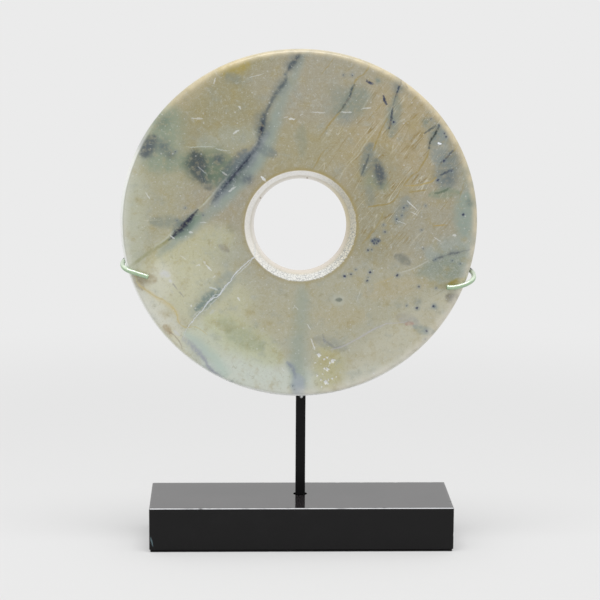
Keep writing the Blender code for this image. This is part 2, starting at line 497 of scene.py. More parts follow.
def tidy_shell(obj: bpy.types.Object, reach: float = 1e-5) -> None:
    """Merge double vertices and turn the faces outwards."""
    edit(obj)
    bpy.ops.mesh.select_all(action='SELECT')
    bpy.ops.mesh.remove_doubles(threshold=reach)
    bpy.ops.mesh.normals_make_consistent(inside=False)
    done()


def reshape(obj: bpy.types.Object, move: Callable[[Vector, Vector], Vector]) -> None:
    """Move every vertex by a rule.

    Args:
        obj: The object.
        move: Takes a vertex's place and normal and gives its new place.
    """
    before = [(vertex.co.copy(), vertex.normal.copy()) for vertex in obj.data.vertices]
    after = [channel for place, normal in before for channel in move(place, normal)]
    obj.data.vertices.foreach_set("co", after)
    obj.data.update()


def hold_number(obj: bpy.types.Object, name: str, numbers: Iterable[float]) -> None:
    """Store one number for each vertex, for the material to read."""
    stored = obj.data.attributes.new(name, 'FLOAT', 'POINT')
    stored.data.foreach_set("value", list(numbers))


def ease(value: float, start: float, end: float) -> float:
    """Go smoothly from 0 to 1 while a value goes from start to end."""
    share = min(max((value - start) / (end - start), 0.0), 1.0)
    return share * share * (3 - 2 * share)


def seat(piece: bpy.types.Object, finish: bpy.types.Material, slot: str, *nodes: str) -> None:
    """Give a piece its material and body, and hide the imported nodes that it stands for.

    Args:
        piece: The finished piece.
        finish: Its material.
        slot: Not used.
        nodes: The CAD nodes that it replaces.
    """
    piece.data.materials.clear()
    piece.data.materials.append(finish)
    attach(piece, BODY)
    if nodes:
        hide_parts(*nodes)
    log.info("%s: %d faces", piece.name, len(piece.data.polygons))


# What shows in the stone, at places in millimetres from the hole's middle

@dataclass(frozen=True)
class Patch:
    """A soft-edged oval of colour in the stone, or a thin crisp one for a scratch.

    Args:
        x: Its middle, to the right.
        z: Its middle, upwards.
        across: Half its width before it is turned.
        up: Half its height before it is turned.
        colour: How it looks on the screen.
        strength: How much of it covers what is below.
        turn: Degrees that it is turned, anticlockwise.
        core: Share of its reach that has its full strength.
    """

    x: float
    z: float
    across: float
    up: float
    colour: Colour
    strength: float
    turn: float = 0.0
    core: float = 0.0

    # The ratio of width to height past which an oval is laid as a circle, and how far a soft one spreads
    ROUND_ENOUGH = 0.85
    SPREAD = 1.5

    def lay(self, graph: Graph, sheet: Value, below: Feed) -> Value:
        """Lay the patch over a colour.

        Args:
            graph: The material's nodes.
            sheet: Places on the stone's face.
            below: The colour under it.

        Returns:
            The new colour.
        """
        soft = self.core == 0.0
        spread = self.SPREAD if soft else 1.0
        peak = math.sqrt(self.strength) if soft else self.strength
        longer = max(self.across, self.up) * spread
        shorter = min(self.across, self.up) * spread
        middle = Vector((self.x, self.z, 0.0))
        if shorter > self.ROUND_ENOUGH * longer:
            radius = (longer + shorter) / 2
            away = graph.measure('DISTANCE', sheet, middle)
            share = away.fade(radius * self.core, radius, peak, 0.0)
        else:
            turn = math.radians(self.turn + (90 if self.up > self.across else 0))
            focus = math.sqrt(longer * longer - shorter * shorter)
            step = Vector((math.cos(turn), math.sin(turn), 0.0)) * focus
            away = graph.measure('DISTANCE', sheet, middle + step)
            away = away + graph.measure('DISTANCE', sheet, middle - step)
            inside = 2 * (focus + self.core * self.core * (longer - focus))
            share = away.fade(inside, 2 * longer, peak, 0.0)
        return graph.mix(below, lit(self.colour), share * share if soft else share)


def patches(*rows: tuple) -> tuple[Patch, ...]:
    """Make a patch of each row, which holds its fields in order."""
    return tuple(Patch(*row) for row in rows)


@dataclass(frozen=True)
class Vein:
    """A seam of colour that runs through the stone from its first point to its last.

    Args:
        colour: How it looks on the screen.
        course: The points that it passes, each as x, z, half width and strength.
        core: Share of its half width that has its full strength.
        smoke: The colour of the soft zone along both its sides, where it has one.
        spread: How many half widths the smoke reaches.
        smoke_strength: How much of it covers what is below.
    """

    colour: Colour
    course: tuple[tuple[float, float, float, float], ...]
    core: float = 0.25
    smoke: Colour | None = None
    spread: float = 2.5
    smoke_strength: float = 0.5

    # The share of the drawn curve that lies past each end of the seam
    MARGIN = 0.03

    def lay(self, graph: Graph, sheet: Value, below: Feed) -> Value:
        """Lay the seam over a colour.

        Args:
            graph: The material's nodes.
            sheet: Places on the stone's face.
            below: The colour under it.

        Returns:
            The new colour.
        """
        places = [Vector((x, z)) for x, z, _, _ in self.course]
        along = (places[-1] - places[0]).normalized()
        across = Vector((-along.y, along.x))
        span = (places[-1] - places[0]).length / (1 - 2 * self.MARGIN)
        origin = places[0] - along * self.MARGIN * span
        steps = [(place - origin).dot(along) / span for place in places]
        offsets = [(place - origin).dot(across) for place in places]
        swing = max(max(abs(offset) for offset in offsets), 0.5)
        widest = max(width for _, _, width, _ in self.course)
        strongest = max(strength for _, _, _, strength in self.course)
        travel = graph.measure('DOT_PRODUCT', sheet, (along / span).to_3d()) - origin.dot(along) / span
        aside = graph.measure('DOT_PRODUCT', sheet, across.to_3d()) - origin.dot(across)

        def read(numbers: Sequence[float], at_ends: float | None = None) -> Value:
            """Draw numbers along the seam as a curve and read it."""
            points = list(zip(steps, numbers))
            if at_ends is not None:
                points = [(0.0, at_ends), *points, (1.0, at_ends)]
            return graph.value(0, 'ShaderNodeFloatCurve', {"curve": points}, {"Value": travel})

        course = read([0.5 + 0.5 * offset / swing for offset in offsets])
        away = abs(aside - graph.maths('MULTIPLY_ADD', course, 2 * swing, -swing))
        width = read([max(width / widest, 0.05) for _, _, width, _ in self.course])
        strength = read([strength / strongest for _, _, _, strength in self.course], 0.0)
        reach = away / (width * widest)
        colour = below
        if self.smoke is not None:
            smoke = reach.fade(0.3, self.spread, self.smoke_strength * strongest, 0.0)
            colour = graph.mix(colour, lit(self.smoke), smoke * strength)
        return graph.mix(colour, lit(self.colour), reach.fade(self.core, 1.0, strongest, 0.0) * strength)


# Screen colours of the stone
TAN: Colour = (165, 156, 131)
# The cream of the light painted on the rim's top and right
RIM_LIGHT_CREAM: Colour = (212, 196, 160)
OCHRE: Colour = (158, 138, 78)
DULL_OCHRE: Colour = (152, 140, 100)
BLUE_BLACK: Colour = (44, 52, 68)
INK: Colour = (52, 62, 86)
MILK: Colour = (224, 223, 214)

# Broad changes of the ground, from the top left to the bottom right
GROUND: tuple[Patch, ...] = patches(
    (-58, 72, 46, 34, (158, 149, 112), 0.85, 45), (-70, 88, 20, 8, (186, 172, 136), 0.5, 42),
    (-95, 15, 24, 40, (174, 169, 138), 0.8, -10), (-114, 5, 16, 60, (192, 192, 166), 0.75),
    (0, 50, 48, 18, (166, 156, 120), 0.8), (-46, 56, 16, 9, (166, 168, 148), 0.55, 10),
    (25, 92, 44, 24, (166, 158, 134), 0.75), (62, 57, 38, 46, (174, 158, 122), 0.9, -30),
    (48, 14, 22, 32, (157, 149, 118), 0.75), (78, -4, 30, 34, (165, 158, 134), 0.7),
    (98, -14, 14, 8, (160, 166, 154), 0.7, 15), (100, -27, 20, 12, (138, 147, 130), 0.8, 12),
    (110, 5, 10, 30, (158, 163, 146), 0.6), (-70, -16, 24, 17, (196, 191, 152), 0.85, 20),
    (-45, -20, 24, 24, (175, 174, 150), 0.7), (-68, -44, 32, 24, (203, 199, 164), 0.85, -20),
    (-40, -52, 26, 26, (188, 184, 150), 0.7), (-96, -42, 14, 18, (212, 208, 182), 0.9, -30),
    (-92, -64, 24, 12, (217, 213, 192), 0.9, -48), (-66, -90, 30, 9, (208, 202, 168), 0.8, -40),
    (-46, -84, 26, 18, (203, 206, 180), 0.85, -30), (-24, -102, 40, 16, (208, 211, 194), 0.9, -8),
    (-16, -62, 22, 22, (186, 178, 142), 0.7), (-36, -74, 22, 12, (192, 192, 150), 0.6, -30),
    (40, -54, 50, 30, (178, 172, 144), 0.75), (64, -80, 46, 18, (196, 190, 164), 0.85, 38),
    (40, -100, 34, 8, (200, 198, 176), 0.7, 16), (19, -93, 12, 15, (188, 180, 132), 0.75),
    (26, -59, 13, 8, (182, 170, 134), 0.5), (62, -40, 16, 8, (182, 168, 132), 0.5, 12),
    (84, -60, 12, 12, (180, 170, 140), 0.5, 40),
)

# Clouds of green and smoke in the stone, the wide ones first, and two patches of painted shadow under the
# wire hooks
CLOUDS_AND_HOOK_SHADOWS: tuple[Patch, ...] = patches(
    (-89, 57, 16, 20, (146, 155, 132), 0.9, -10), (-89, 67, 8, 8.5, (118, 131, 114), 0.85),
    (-99, 50, 8, 7, (108, 116, 116), 0.8, 30), (-97.5, 51.5, 5.5, 7, (84, 91, 96), 0.75, -35),
    (-88, 51.5, 7, 6.5, (104, 114, 112), 0.85), (-83, 45.5, 6, 5.5, (94, 102, 102), 0.75, 20),
    (-79, 41, 8, 6, (140, 150, 128), 0.7, 30), (-56, 38, 17, 13, (124, 136, 110), 0.95, -12),
    (-65, 39, 10, 11.5, (98, 108, 102), 0.85, 18), (-65.5, 38.5, 7.5, 9.5, (72, 78, 82), 0.78, 20),
    (-61.5, 31, 4.5, 7, (92, 99, 98), 0.6, 25), (-52.5, 43, 6.5, 6, (92, 101, 100), 0.95),
    (-53, 32, 8, 6, (104, 118, 98), 0.7, -20), (-45, 38, 5.5, 4, (102, 112, 106), 0.85, 40),
    (-39, 43.5, 4, 6, (112, 118, 116), 0.75, -30), (-34, 30.5, 6, 5.5, (98, 106, 110), 0.9),
    (-22.5, 48.5, 6, 4, (122, 130, 126), 0.7, -20), (-86.5, 2.5, 8, 4.5, (142, 146, 130), 0.75),
    (-42.5, 102, 8.5, 6, (172, 152, 78), 0.7, 10), (-43, 94.5, 5, 4, (132, 136, 122), 0.55, -30),
    (0.5, 55, 4, 8, (146, 148, 126), 0.5), (32, 79, 13, 11, (134, 141, 126), 0.75, 40),
    (22, 85, 9, 8, (144, 147, 132), 0.6, 50), (29, 70, 7, 6, (146, 148, 140), 0.5, 50),
    (42.5, 43, 4.6, 8.5, (124, 131, 122), 0.75, -15), (46, 29, 8.5, 9.5, (140, 146, 120), 0.75, 10),
    (50, 34, 5.4, 8, (112, 119, 112), 0.75, 10), (50.5, 33.5, 3.4, 5.4, (84, 90, 94), 0.8, 10),
    (53.5, 26, 4.5, 5, (140, 146, 120), 0.6), (44.5, 19.5, 4, 5.5, (138, 141, 126), 0.6),
    (62.5, 90, 7.5, 8, (126, 134, 130), 0.7), (59, 71, 5.5, 10, (128, 139, 128), 0.6, -8),
    (49, 93, 3, 3, (120, 134, 124), 0.7), (80, 67, 5, 5, (128, 138, 126), 0.75),
    (87, 60, 8, 9, (128, 137, 128), 0.85, 20), (89, 51, 7.5, 10, (140, 147, 140), 0.75, -10),
    (94, 36, 9, 11.5, (126, 133, 126), 0.85, -10), (95, 31, 6.5, 6.5, (108, 116, 114), 0.75),
    (92, 21.5, 7.5, 4, (134, 145, 122), 0.65, 5), (106.5, 8, 8.5, 12, (148, 159, 144), 0.8),
    (109.5, 16, 3.5, 4, (112, 126, 118), 0.8), (65, 10, 5, 8, (140, 144, 134), 0.65, -25),
    (48.6, -9.6, 3.0, 2.2, (66, 78, 92), 0.75, 0), (66.5, -22, 5, 3.2, (122, 124, 114), 0.7, -30),
    # Painted shadow under the right wire hook's tip: the patch at 102, -47 in the row below.
    (102, -47, 6.5, 3.8, (124, 120, 110), 0.85, -5), (76, -49.5, 4, 4, (138, 143, 134), 0.7),
    (87, -52, 3.5, 3.5, (132, 142, 140), 0.6), (20, -77, 9, 5, (150, 151, 140), 0.5, -15),
    (25, -48.5, 5.6, 5.6, (188, 187, 168), 0.65, 0, 0.4), (25, -48.3, 2.0, 1.6, (110, 115, 102), 0.8),
    (81, -68, 6, 3, (142, 151, 142), 0.65, -20), (70, -61, 6, 4, (158, 155, 148), 0.45, -20),
    (71.5, -63.8, 2.2, 1.7, (178, 138, 122), 0.55), (-57, -45, 15, 8, (146, 154, 144), 0.4, 46),
    (-59.5, -47.5, 8, 3.8, (112, 130, 126), 0.75, 42), (-48, -36, 7, 5, (158, 162, 148), 0.5, 40),
    (-36, -74, 11, 7, (144, 152, 122), 0.4, -25), (-47.5, -64, 6, 5, (154, 158, 128), 0.4),
    (-87.5, -31.5, 3.4, 2.8, (214, 212, 206), 0.7, -10), (-84, -36, 2, 1.8, (216, 214, 208), 0.85),
    (-86, -67.5, 3.4, 2.4, (160, 136, 96), 0.7, -50), (-49, -14.5, 3.4, 2.4, (138, 132, 122), 0.5, -35),
    (-45, -1.5, 4.5, 5, (146, 142, 116), 0.6), (106, -36.2, 7.5, 2.6, (152, 136, 58), 0.9, 9),
    # Painted shade under the left wire hook: the patch at -104, -33 in the row below.
    (98, -38.5, 7, 2.4, (150, 138, 88), 0.5, 5), (-104, -33, 9, 5, (170, 154, 120), 0.7, -14),
    (-104.5, -37, 2.8, 4.6, (142, 120, 84), 0.65, 35),
)

# Seams that are soft from side to side
HALOS: tuple[Vein, ...] = (
    Vein((150, 160, 148), (
        (1, 110, 4, 0.4), (-4, 98, 6, 0.5), (-10, 87, 7.5, 0.6), (-14, 77, 8, 0.65), (-17, 67, 7.5, 0.75),
        (-20, 57, 7.5, 0.8), (-26, 45, 8, 0.85), (-35, 34, 8.5, 0.9), (-43, 25, 8.5, 0.9),
        (-51, 16, 7.5, 0.8), (-60, 7, 6.5, 0.6), (-69, 0, 6.5, 0.75), (-78, -8, 5.5, 0.7),
        (-90, -17, 4.5, 0.4)), 0.1),
    Vein((144, 148, 154), (
        (-22, 60, 3.5, 0.4), (-28, 50, 4.5, 0.7), (-35, 42.5, 6.5, 0.85), (-42, 35, 6.5, 0.9),
        (-50, 24, 5, 0.75), (-55, 14, 3.5, 0.3)), 0.1),
    Vein((118, 138, 118), (
        (-64, 9, 2.5, 0.3), (-68, 4, 4.5, 0.7), (-74, -2, 4.5, 0.6), (-81, -8, 3.5, 0.5)), 0.1),
    Vein((152, 162, 146), (
        (1.5, -38, 5, 0.2), (1.2, -50, 8, 0.5), (0.5, -64, 9, 0.45), (-1, -76, 9.5, 0.55),
        (-1.5, -90, 10, 0.7), (0, -102, 9, 0.75), (-1, -112, 8, 0.7)), 0.0),
    Vein((166, 172, 174), (
        (-1.2, -97, 3, 0.4), (-0.5, -101, 5.5, 0.75), (-0.6, -106, 6, 0.85), (-1, -112, 5.5, 0.8)), 0.3),
    Vein((182, 196, 180), (
        (-74, -70, 4, 0.4), (-66.5, -76.5, 6, 0.6), (-59, -84, 7, 0.7), (-53, -91, 7, 0.7),
        (-47, -98, 6, 0.5)), 0.0),
)

# Dark seams with a smoky edge, broken up by the stone's grain
SEAMS: tuple[Vein, ...] = (
    Vein((74, 84, 90), (
        (-0.5, 112, 1.8, 0.58), (-3, 108, 2.6, 0.82), (-6, 104, 2.6, 0.87), (-8.5, 100.5, 2, 0.72),
        (-10, 97.5, 1.4, 0.34), (-9.5, 95, 1.6, 0.39), (-11.5, 91.5, 2.6, 0.72), (-14, 88, 2.6, 0.72),
        (-17, 84, 2, 0.63), (-20, 78, 1.6, 0.58), (-22.5, 73.5, 1.8, 0.67), (-24, 68.5, 3.5, 0.82),
        (-25, 62.5, 3.6, 0.97), (-26.5, 57, 2.1, 0.72), (-27, 52.5, 2, 0.63), (-31, 47.5, 2.3, 0.72),
        (-36, 40.5, 3.6, 0.91), (-43, 32.5, 3.6, 0.91), (-49, 25.5, 3, 0.82), (-54, 19, 2.1, 0.67),
        (-57, 14.5, 1.2, 0.19)), 0.0, (108, 118, 116), 2.6, 0.7),
    Vein(BLUE_BLACK, (
        (-24.5, 66, 0.7, 0.3), (-25.2, 62.5, 1.1, 0.9), (-25.8, 59, 0.7, 0.4), (-30, 49, 0.5, 0.2),
        (-37, 39.5, 0.9, 0.7), (-43.5, 32, 0.9, 0.7), (-49.5, 24.5, 0.6, 0.4))),
    Vein(BLUE_BLACK, (
        (-66, 10.5, 0.8, 0.5), (-69, 7, 1.4, 0.85), (-72, 3.5, 2.5, 1.0), (-75.5, -0.5, 2.9, 1.0),
        (-79, -3.5, 2.4, 1.0), (-82, -6.8, 1.1, 0.8), (-84.5, -9, 0.7, 0.3)), 0.1, (92, 106, 104), 2.2, 0.8),
    Vein((70, 82, 86), (
        (34, 91, 0.8, 0.5), (32.5, 88.5, 1.0, 0.85), (31, 83.5, 1.2, 0.85), (28.5, 79.5, 1.1, 0.8),
        (26, 75.5, 0.8, 0.55), (23.5, 73, 0.5, 0.3)), 0.2, (118, 128, 118), 2.6, 0.5),
    Vein((58, 68, 82), (
        (65, 94.5, 0.8, 0.8), (62.5, 90, 1.0, 0.9), (60.5, 84.5, 0.9, 0.75), (59, 79, 0.5, 0.3),
        (58.2, 73, 1.1, 0.85), (57.8, 68.5, 1.1, 0.9), (56.5, 63.5, 0.8, 0.6)), 0.2,
        (112, 124, 122), 2.8, 0.5),
    Vein(INK, ((64.5, 94.5, 0.7, 0.8), (66.5, 91.5, 1.0, 0.9), (68, 89, 0.7, 0.7))),
    Vein(INK, ((52, 84, 1.0, 0.8), (53, 80.5, 1.3, 0.95), (54.5, 78, 0.9, 0.7))),
    Vein(INK, ((41.5, 94, 1.0, 0.8), (43.5, 92.5, 1.2, 0.95), (46, 91.5, 1.0, 0.8))),
    Vein((58, 66, 64), (
        (88.5, 65.5, 0.8, 0.8), (85.5, 59, 1.1, 0.95), (83, 55, 1.0, 0.9), (82, 50, 0.8, 0.7)), 0.2,
        (112, 122, 116), 2.6, 0.5),
    Vein((84, 92, 90), ((79, 60, 0.8, 0.6), (82.5, 62.5, 1.1, 0.8), (86.5, 65, 0.8, 0.6))),
    Vein((76, 82, 90), ((97.5, 49, 0.7, 0.6), (94, 45, 1.0, 0.8), (89.5, 41, 0.7, 0.7))),
    Vein((72, 78, 88), ((98, 37.5, 0.8, 0.8), (94, 35.5, 1.1, 0.8), (90, 33, 0.7, 0.7))),
    Vein((100, 112, 92), ((86, 21.5, 0.8, 0.7), (91, 22.5, 1.0, 0.8), (96, 25, 0.8, 0.6))),
    Vein((88, 94, 92), (
        (43.5, 46, 0.8, 0.6), (42.5, 42, 1.2, 0.8), (40.5, 37.5, 1.0, 0.7), (38.5, 32, 0.6, 0.4)), 0.2),
    Vein((90, 95, 98), (
        (86.5, -22, 0.9, 0.7), (91, -20, 1.3, 0.75), (93.5, -19, 0.8, 0.3), (97.5, -17.6, 1.3, 0.85),
        (101, -17.3, 1.2, 0.8), (105, -16.3, 0.9, 0.3), (110, -15, 0.7, 0.35)), 0.0,
        (128, 131, 126), 2.8, 0.6),
    Vein((157, 158, 162), (
        (-76, -73.5, 2.2, 0.35), (-69.5, -78.5, 3.2, 0.65), (-66, -82.5, 3.2, 0.8), (-62, -87, 2.4, 0.8),
        (-60, -91, 1.9, 0.85), (-57, -94.5, 1.9, 0.8), (-51, -99.5, 1.6, 0.6)), 0.0,
        (176, 183, 176), 2.8, 0.6),
    Vein((142, 147, 152), (
        (-8, -89, 1.0, 0.6), (-5, -93, 1.8, 0.9), (-3, -97.5, 1.4, 0.6), (-2.5, -100, 0.8, 0.3)), 0.2,
        (140, 150, 152), 2.4, 0.6),
    Vein((128, 130, 132), (
        (15, -71, 1.2, 0.4), (17, -76, 2.0, 0.55), (22, -79, 2.0, 0.45), (27, -78.5, 1.2, 0.3)), 0.0),
)

# Thin seams: ochre hairs and pale hairs
HAIRS: tuple[Vein, ...] = (
    Vein((150, 140, 92), (
        (-55.5, 22, 0.6, 0.4), (-60, 17.5, 0.9, 0.6), (-66, 10.5, 0.9, 0.7), (-70, 6.5, 0.8, 0.5)), 0.2),
    Vein((144, 142, 98), (
        (-82, -6.5, 1.0, 0.55), (-88, -11, 2.0, 0.75), (-95, -15.5, 1.9, 0.5), (-102, -20.5, 1.8, 0.6),
        (-110, -26.5, 1.4, 0.35)), 0.1),
    Vein((196, 196, 176), (
        (-46, 33, 0.9, 0.4), (-53, 24.5, 1.2, 0.6), (-62, 14.5, 1.1, 0.55), (-72, 6, 0.9, 0.4),
        (-84, -6, 1.1, 0.6), (-93, -12.5, 1.0, 0.5)), 0.1),
    Vein(OCHRE, (
        (44, 104.5, 0.9, 0.7), (41, 99, 0.9, 0.75), (37.5, 96.5, 0.8, 0.6), (34.5, 93.5, 1.1, 0.85),
        (34, 91, 0.8, 0.6), (30, 81.5, 0.7, 0.4), (26, 75.5, 0.9, 0.6), (19.5, 67.5, 1.0, 0.8),
        (15, 61.5, 0.8, 0.6), (12, 58, 0.6, 0.4)), 0.1),
    Vein(OCHRE, ((17, 51, 0.6, 0.5), (13.5, 47, 0.7, 0.6), (11, 42.5, 0.8, 0.75), (8, 37.5, 0.7, 0.5)), 0.1),
    Vein((204, 198, 172), (
        (58.5, 77, 0.6, 0.33), (53, 68.5, 0.6, 0.3), (48.5, 63, 0.7, 0.33), (44, 57, 0.7, 0.39),
        (37, 47, 0.8, 0.41), (30.5, 40, 0.7, 0.39), (24.5, 30.5, 0.6, 0.33)), 0.1),
    Vein((200, 194, 166), (
        (55, 72.5, 0.4, 0.22), (49, 65, 0.5, 0.28), (43, 58.5, 0.5, 0.28), (35, 47.5, 0.6, 0.33),
        (29, 40.5, 0.5, 0.22)), 0.1),
    Vein(OCHRE, (
        (55, 69, 0.6, 0.5), (51, 61.5, 0.9, 0.75), (48.5, 55, 1.0, 0.8), (46.5, 49, 0.7, 0.5)), 0.1),
    Vein(DULL_OCHRE, (
        (57.5, 65, 0.7, 0.6), (55, 59.5, 0.8, 0.65), (54, 54.5, 0.6, 0.45), (52.5, 44, 0.5, 0.4)), 0.1),
    Vein(OCHRE, (
        (82, 49, 0.7, 0.6), (79.5, 42.5, 1.0, 0.8), (76, 37, 0.9, 0.7), (70.5, 32, 1.0, 0.8),
        (66.5, 27, 0.8, 0.6)), 0.1),
    Vein((176, 152, 84), (
        (87, 31.5, 0.8, 0.7), (82, 28.5, 0.9, 0.75), (76, 27, 1.0, 0.8), (67, 26.5, 0.7, 0.5)), 0.1),
    Vein(OCHRE, (
        (64, 24, 0.7, 0.6), (62, 19.5, 0.9, 0.75), (58, 15.5, 0.8, 0.7), (50, 13.5, 1.2, 0.85),
        (44, 12.5, 0.9, 0.6)), 0.1),
    Vein((160, 144, 92), (
        (53.5, 9, 0.7, 0.6), (50, 1.5, 0.9, 0.7), (45.5, -5, 0.9, 0.7), (40, -11, 0.7, 0.5)), 0.1),
    Vein(DULL_OCHRE, (
        (39, 32.5, 0.7, 0.6), (36.5, 29, 0.9, 0.7), (34, 24.5, 0.6, 0.5)), 0.1),
    Vein((200, 198, 182), (
        (65, -30.5, 0.6, 0.5), (74, -27, 0.7, 0.6), (82.5, -22.5, 0.6, 0.5)), 0.1),
    Vein((186, 170, 128), (
        (48, -38, 0.6, 0.4), (56, -35, 0.7, 0.5), (63.5, -31.5, 0.6, 0.4)), 0.1),
    Vein((190, 172, 106), (
        (-106, -33, 0.8, 0.7), (-103, -39, 0.9, 0.95), (-97.5, -43, 0.7, 0.7), (-92, -46.5, 0.8, 0.65),
        (-86.5, -49.5, 0.7, 0.5), (-82, -53.5, 0.9, 0.7), (-79.5, -58, 0.8, 0.75), (-78.5, -62, 0.7, 0.6),
        (-76, -65, 0.8, 0.55), (-71, -66, 0.7, 0.55), (-66, -66.5, 0.7, 0.5), (-61, -70.5, 0.6, 0.4)), 0.1),
    Vein((206, 188, 140), (
        (-104, -38, 2.0, 0.5), (-92, -47, 2.2, 0.5), (-82, -54, 2.6, 0.5), (-78, -62, 2.2, 0.4)), 0.1),
    Vein((142, 136, 134), ((-82, -38, 0.7, 0.6), (-80, -40.5, 0.6, 0.5), (-78.8, -42, 0.4, 0.1),
                           (-77.5, -43.5, 0.7, 0.6), (-75.5, -46, 0.5, 0.5))),
    Vein((150, 132, 112), (
        (-85, -69, 0.6, 0.7), (-81, -72, 0.6, 0.6), (-78.5, -75, 0.6, 0.6), (-76, -80.5, 0.4, 0.4))),
    Vein((188, 183, 180), (
        (21, -80.5, 0.7, 0.5), (28, -78.5, 0.8, 0.7), (38, -73.5, 0.8, 0.7), (45.5, -69, 0.9, 0.8),
        (54.5, -64.5, 0.7, 0.7), (62.5, -63.5, 0.6, 0.5), (69, -62.5, 0.5, 0.4)), 0.1),
)

# The healed crack at the lower left and its side branches
CRACKS: tuple[Vein, ...] = (
    Vein((222, 222, 218), (
        (-27.5, -15, 0.4, 0.66), (-29, -19.5, 0.48, 0.74), (-33, -22.5, 0.4, 0.7),
        (-38.5, -27.5, 0.48, 0.78), (-43.5, -33, 0.48, 0.78), (-45, -36, 0.48, 0.78),
        (-49.5, -40.5, 0.48, 0.82), (-52, -44.5, 0.56, 0.82), (-56.5, -47, 0.56, 0.82),
        (-60.5, -51, 0.48, 0.78), (-62.5, -54, 0.48, 0.74), (-66, -58, 0.4, 0.7),
        (-69.5, -62, 0.48, 0.7), (-71.5, -64.5, 0.4, 0.66), (-73.5, -68, 0.36, 0.49),
        (-75, -72.5, 0.32, 0.33)), 0.3, (150, 152, 142), 2.2, 0.35),
    Vein((210, 212, 208), (
        (-31, -21, 0.32, 0.49), (-33.5, -25, 0.4, 0.61), (-37.5, -28.5, 0.4, 0.61), (-42, -33, 0.32, 0.33),
        (-51.5, -43.8, 0.4, 0.66), (-55.5, -45, 0.4, 0.66), (-59.5, -49, 0.4, 0.66),
        (-61.5, -52, 0.32, 0.41)), 0.3),
    Vein((202, 204, 198), (
        (-54, -47.5, 0.32, 0.57), (-57.5, -50.5, 0.4, 0.61), (-60, -54, 0.32, 0.49),
        (-66.5, -56.5, 0.32, 0.49), (-69, -59, 0.32, 0.41)), 0.3),
)

# Dark blue specks: places by radius
SPECKS: dict[float, tuple[tuple[float, float], ...]] = {
    1.0: ((45.2, -29.8), (76, -53.5), (63, -32), (82.5, -68.7), (105, 7.5), (86.8, -52.2), (31.3, -5),
          (29, -32.5), (91.7, 42.3), (88.4, 30), (59.5, 67)),
    0.75: ((46.3, -9.6), (48, -8.8), (50.2, -9.8), (47.4, -11), (49.2, -11), (33, -31.3), (54.4, -3.8),
           (43.6, -15.2), (77, -39.5), (66.5, 12), (62, 4.5), (93, 58), (96.5, 36), (43.5, -35.3),
           (91.8, 60.5)),
    0.5: ((53.6, 0.6), (46, -15), (44, -33), (69.5, -51.5), (82, -74), (87.5, -21.5), (79.5, -14.5),
          (78, -2.5), (103.5, -24.5), (98, -22.5), (36, -28), (88, -40.5), (68.5, 13.5), (65.5, 7),
          (80.5, 13.5), (83, 69), (88.5, 65), (-80, 48), (-74, 11.8), (-62.3, 7.3), (-79.2, 3.5),
          (-3.5, -107.5), (-4.2, -105), (-44, -102.5), (-0.8, 113), (-10.5, 97.2), (27, 97), (32.5, 97)),
}

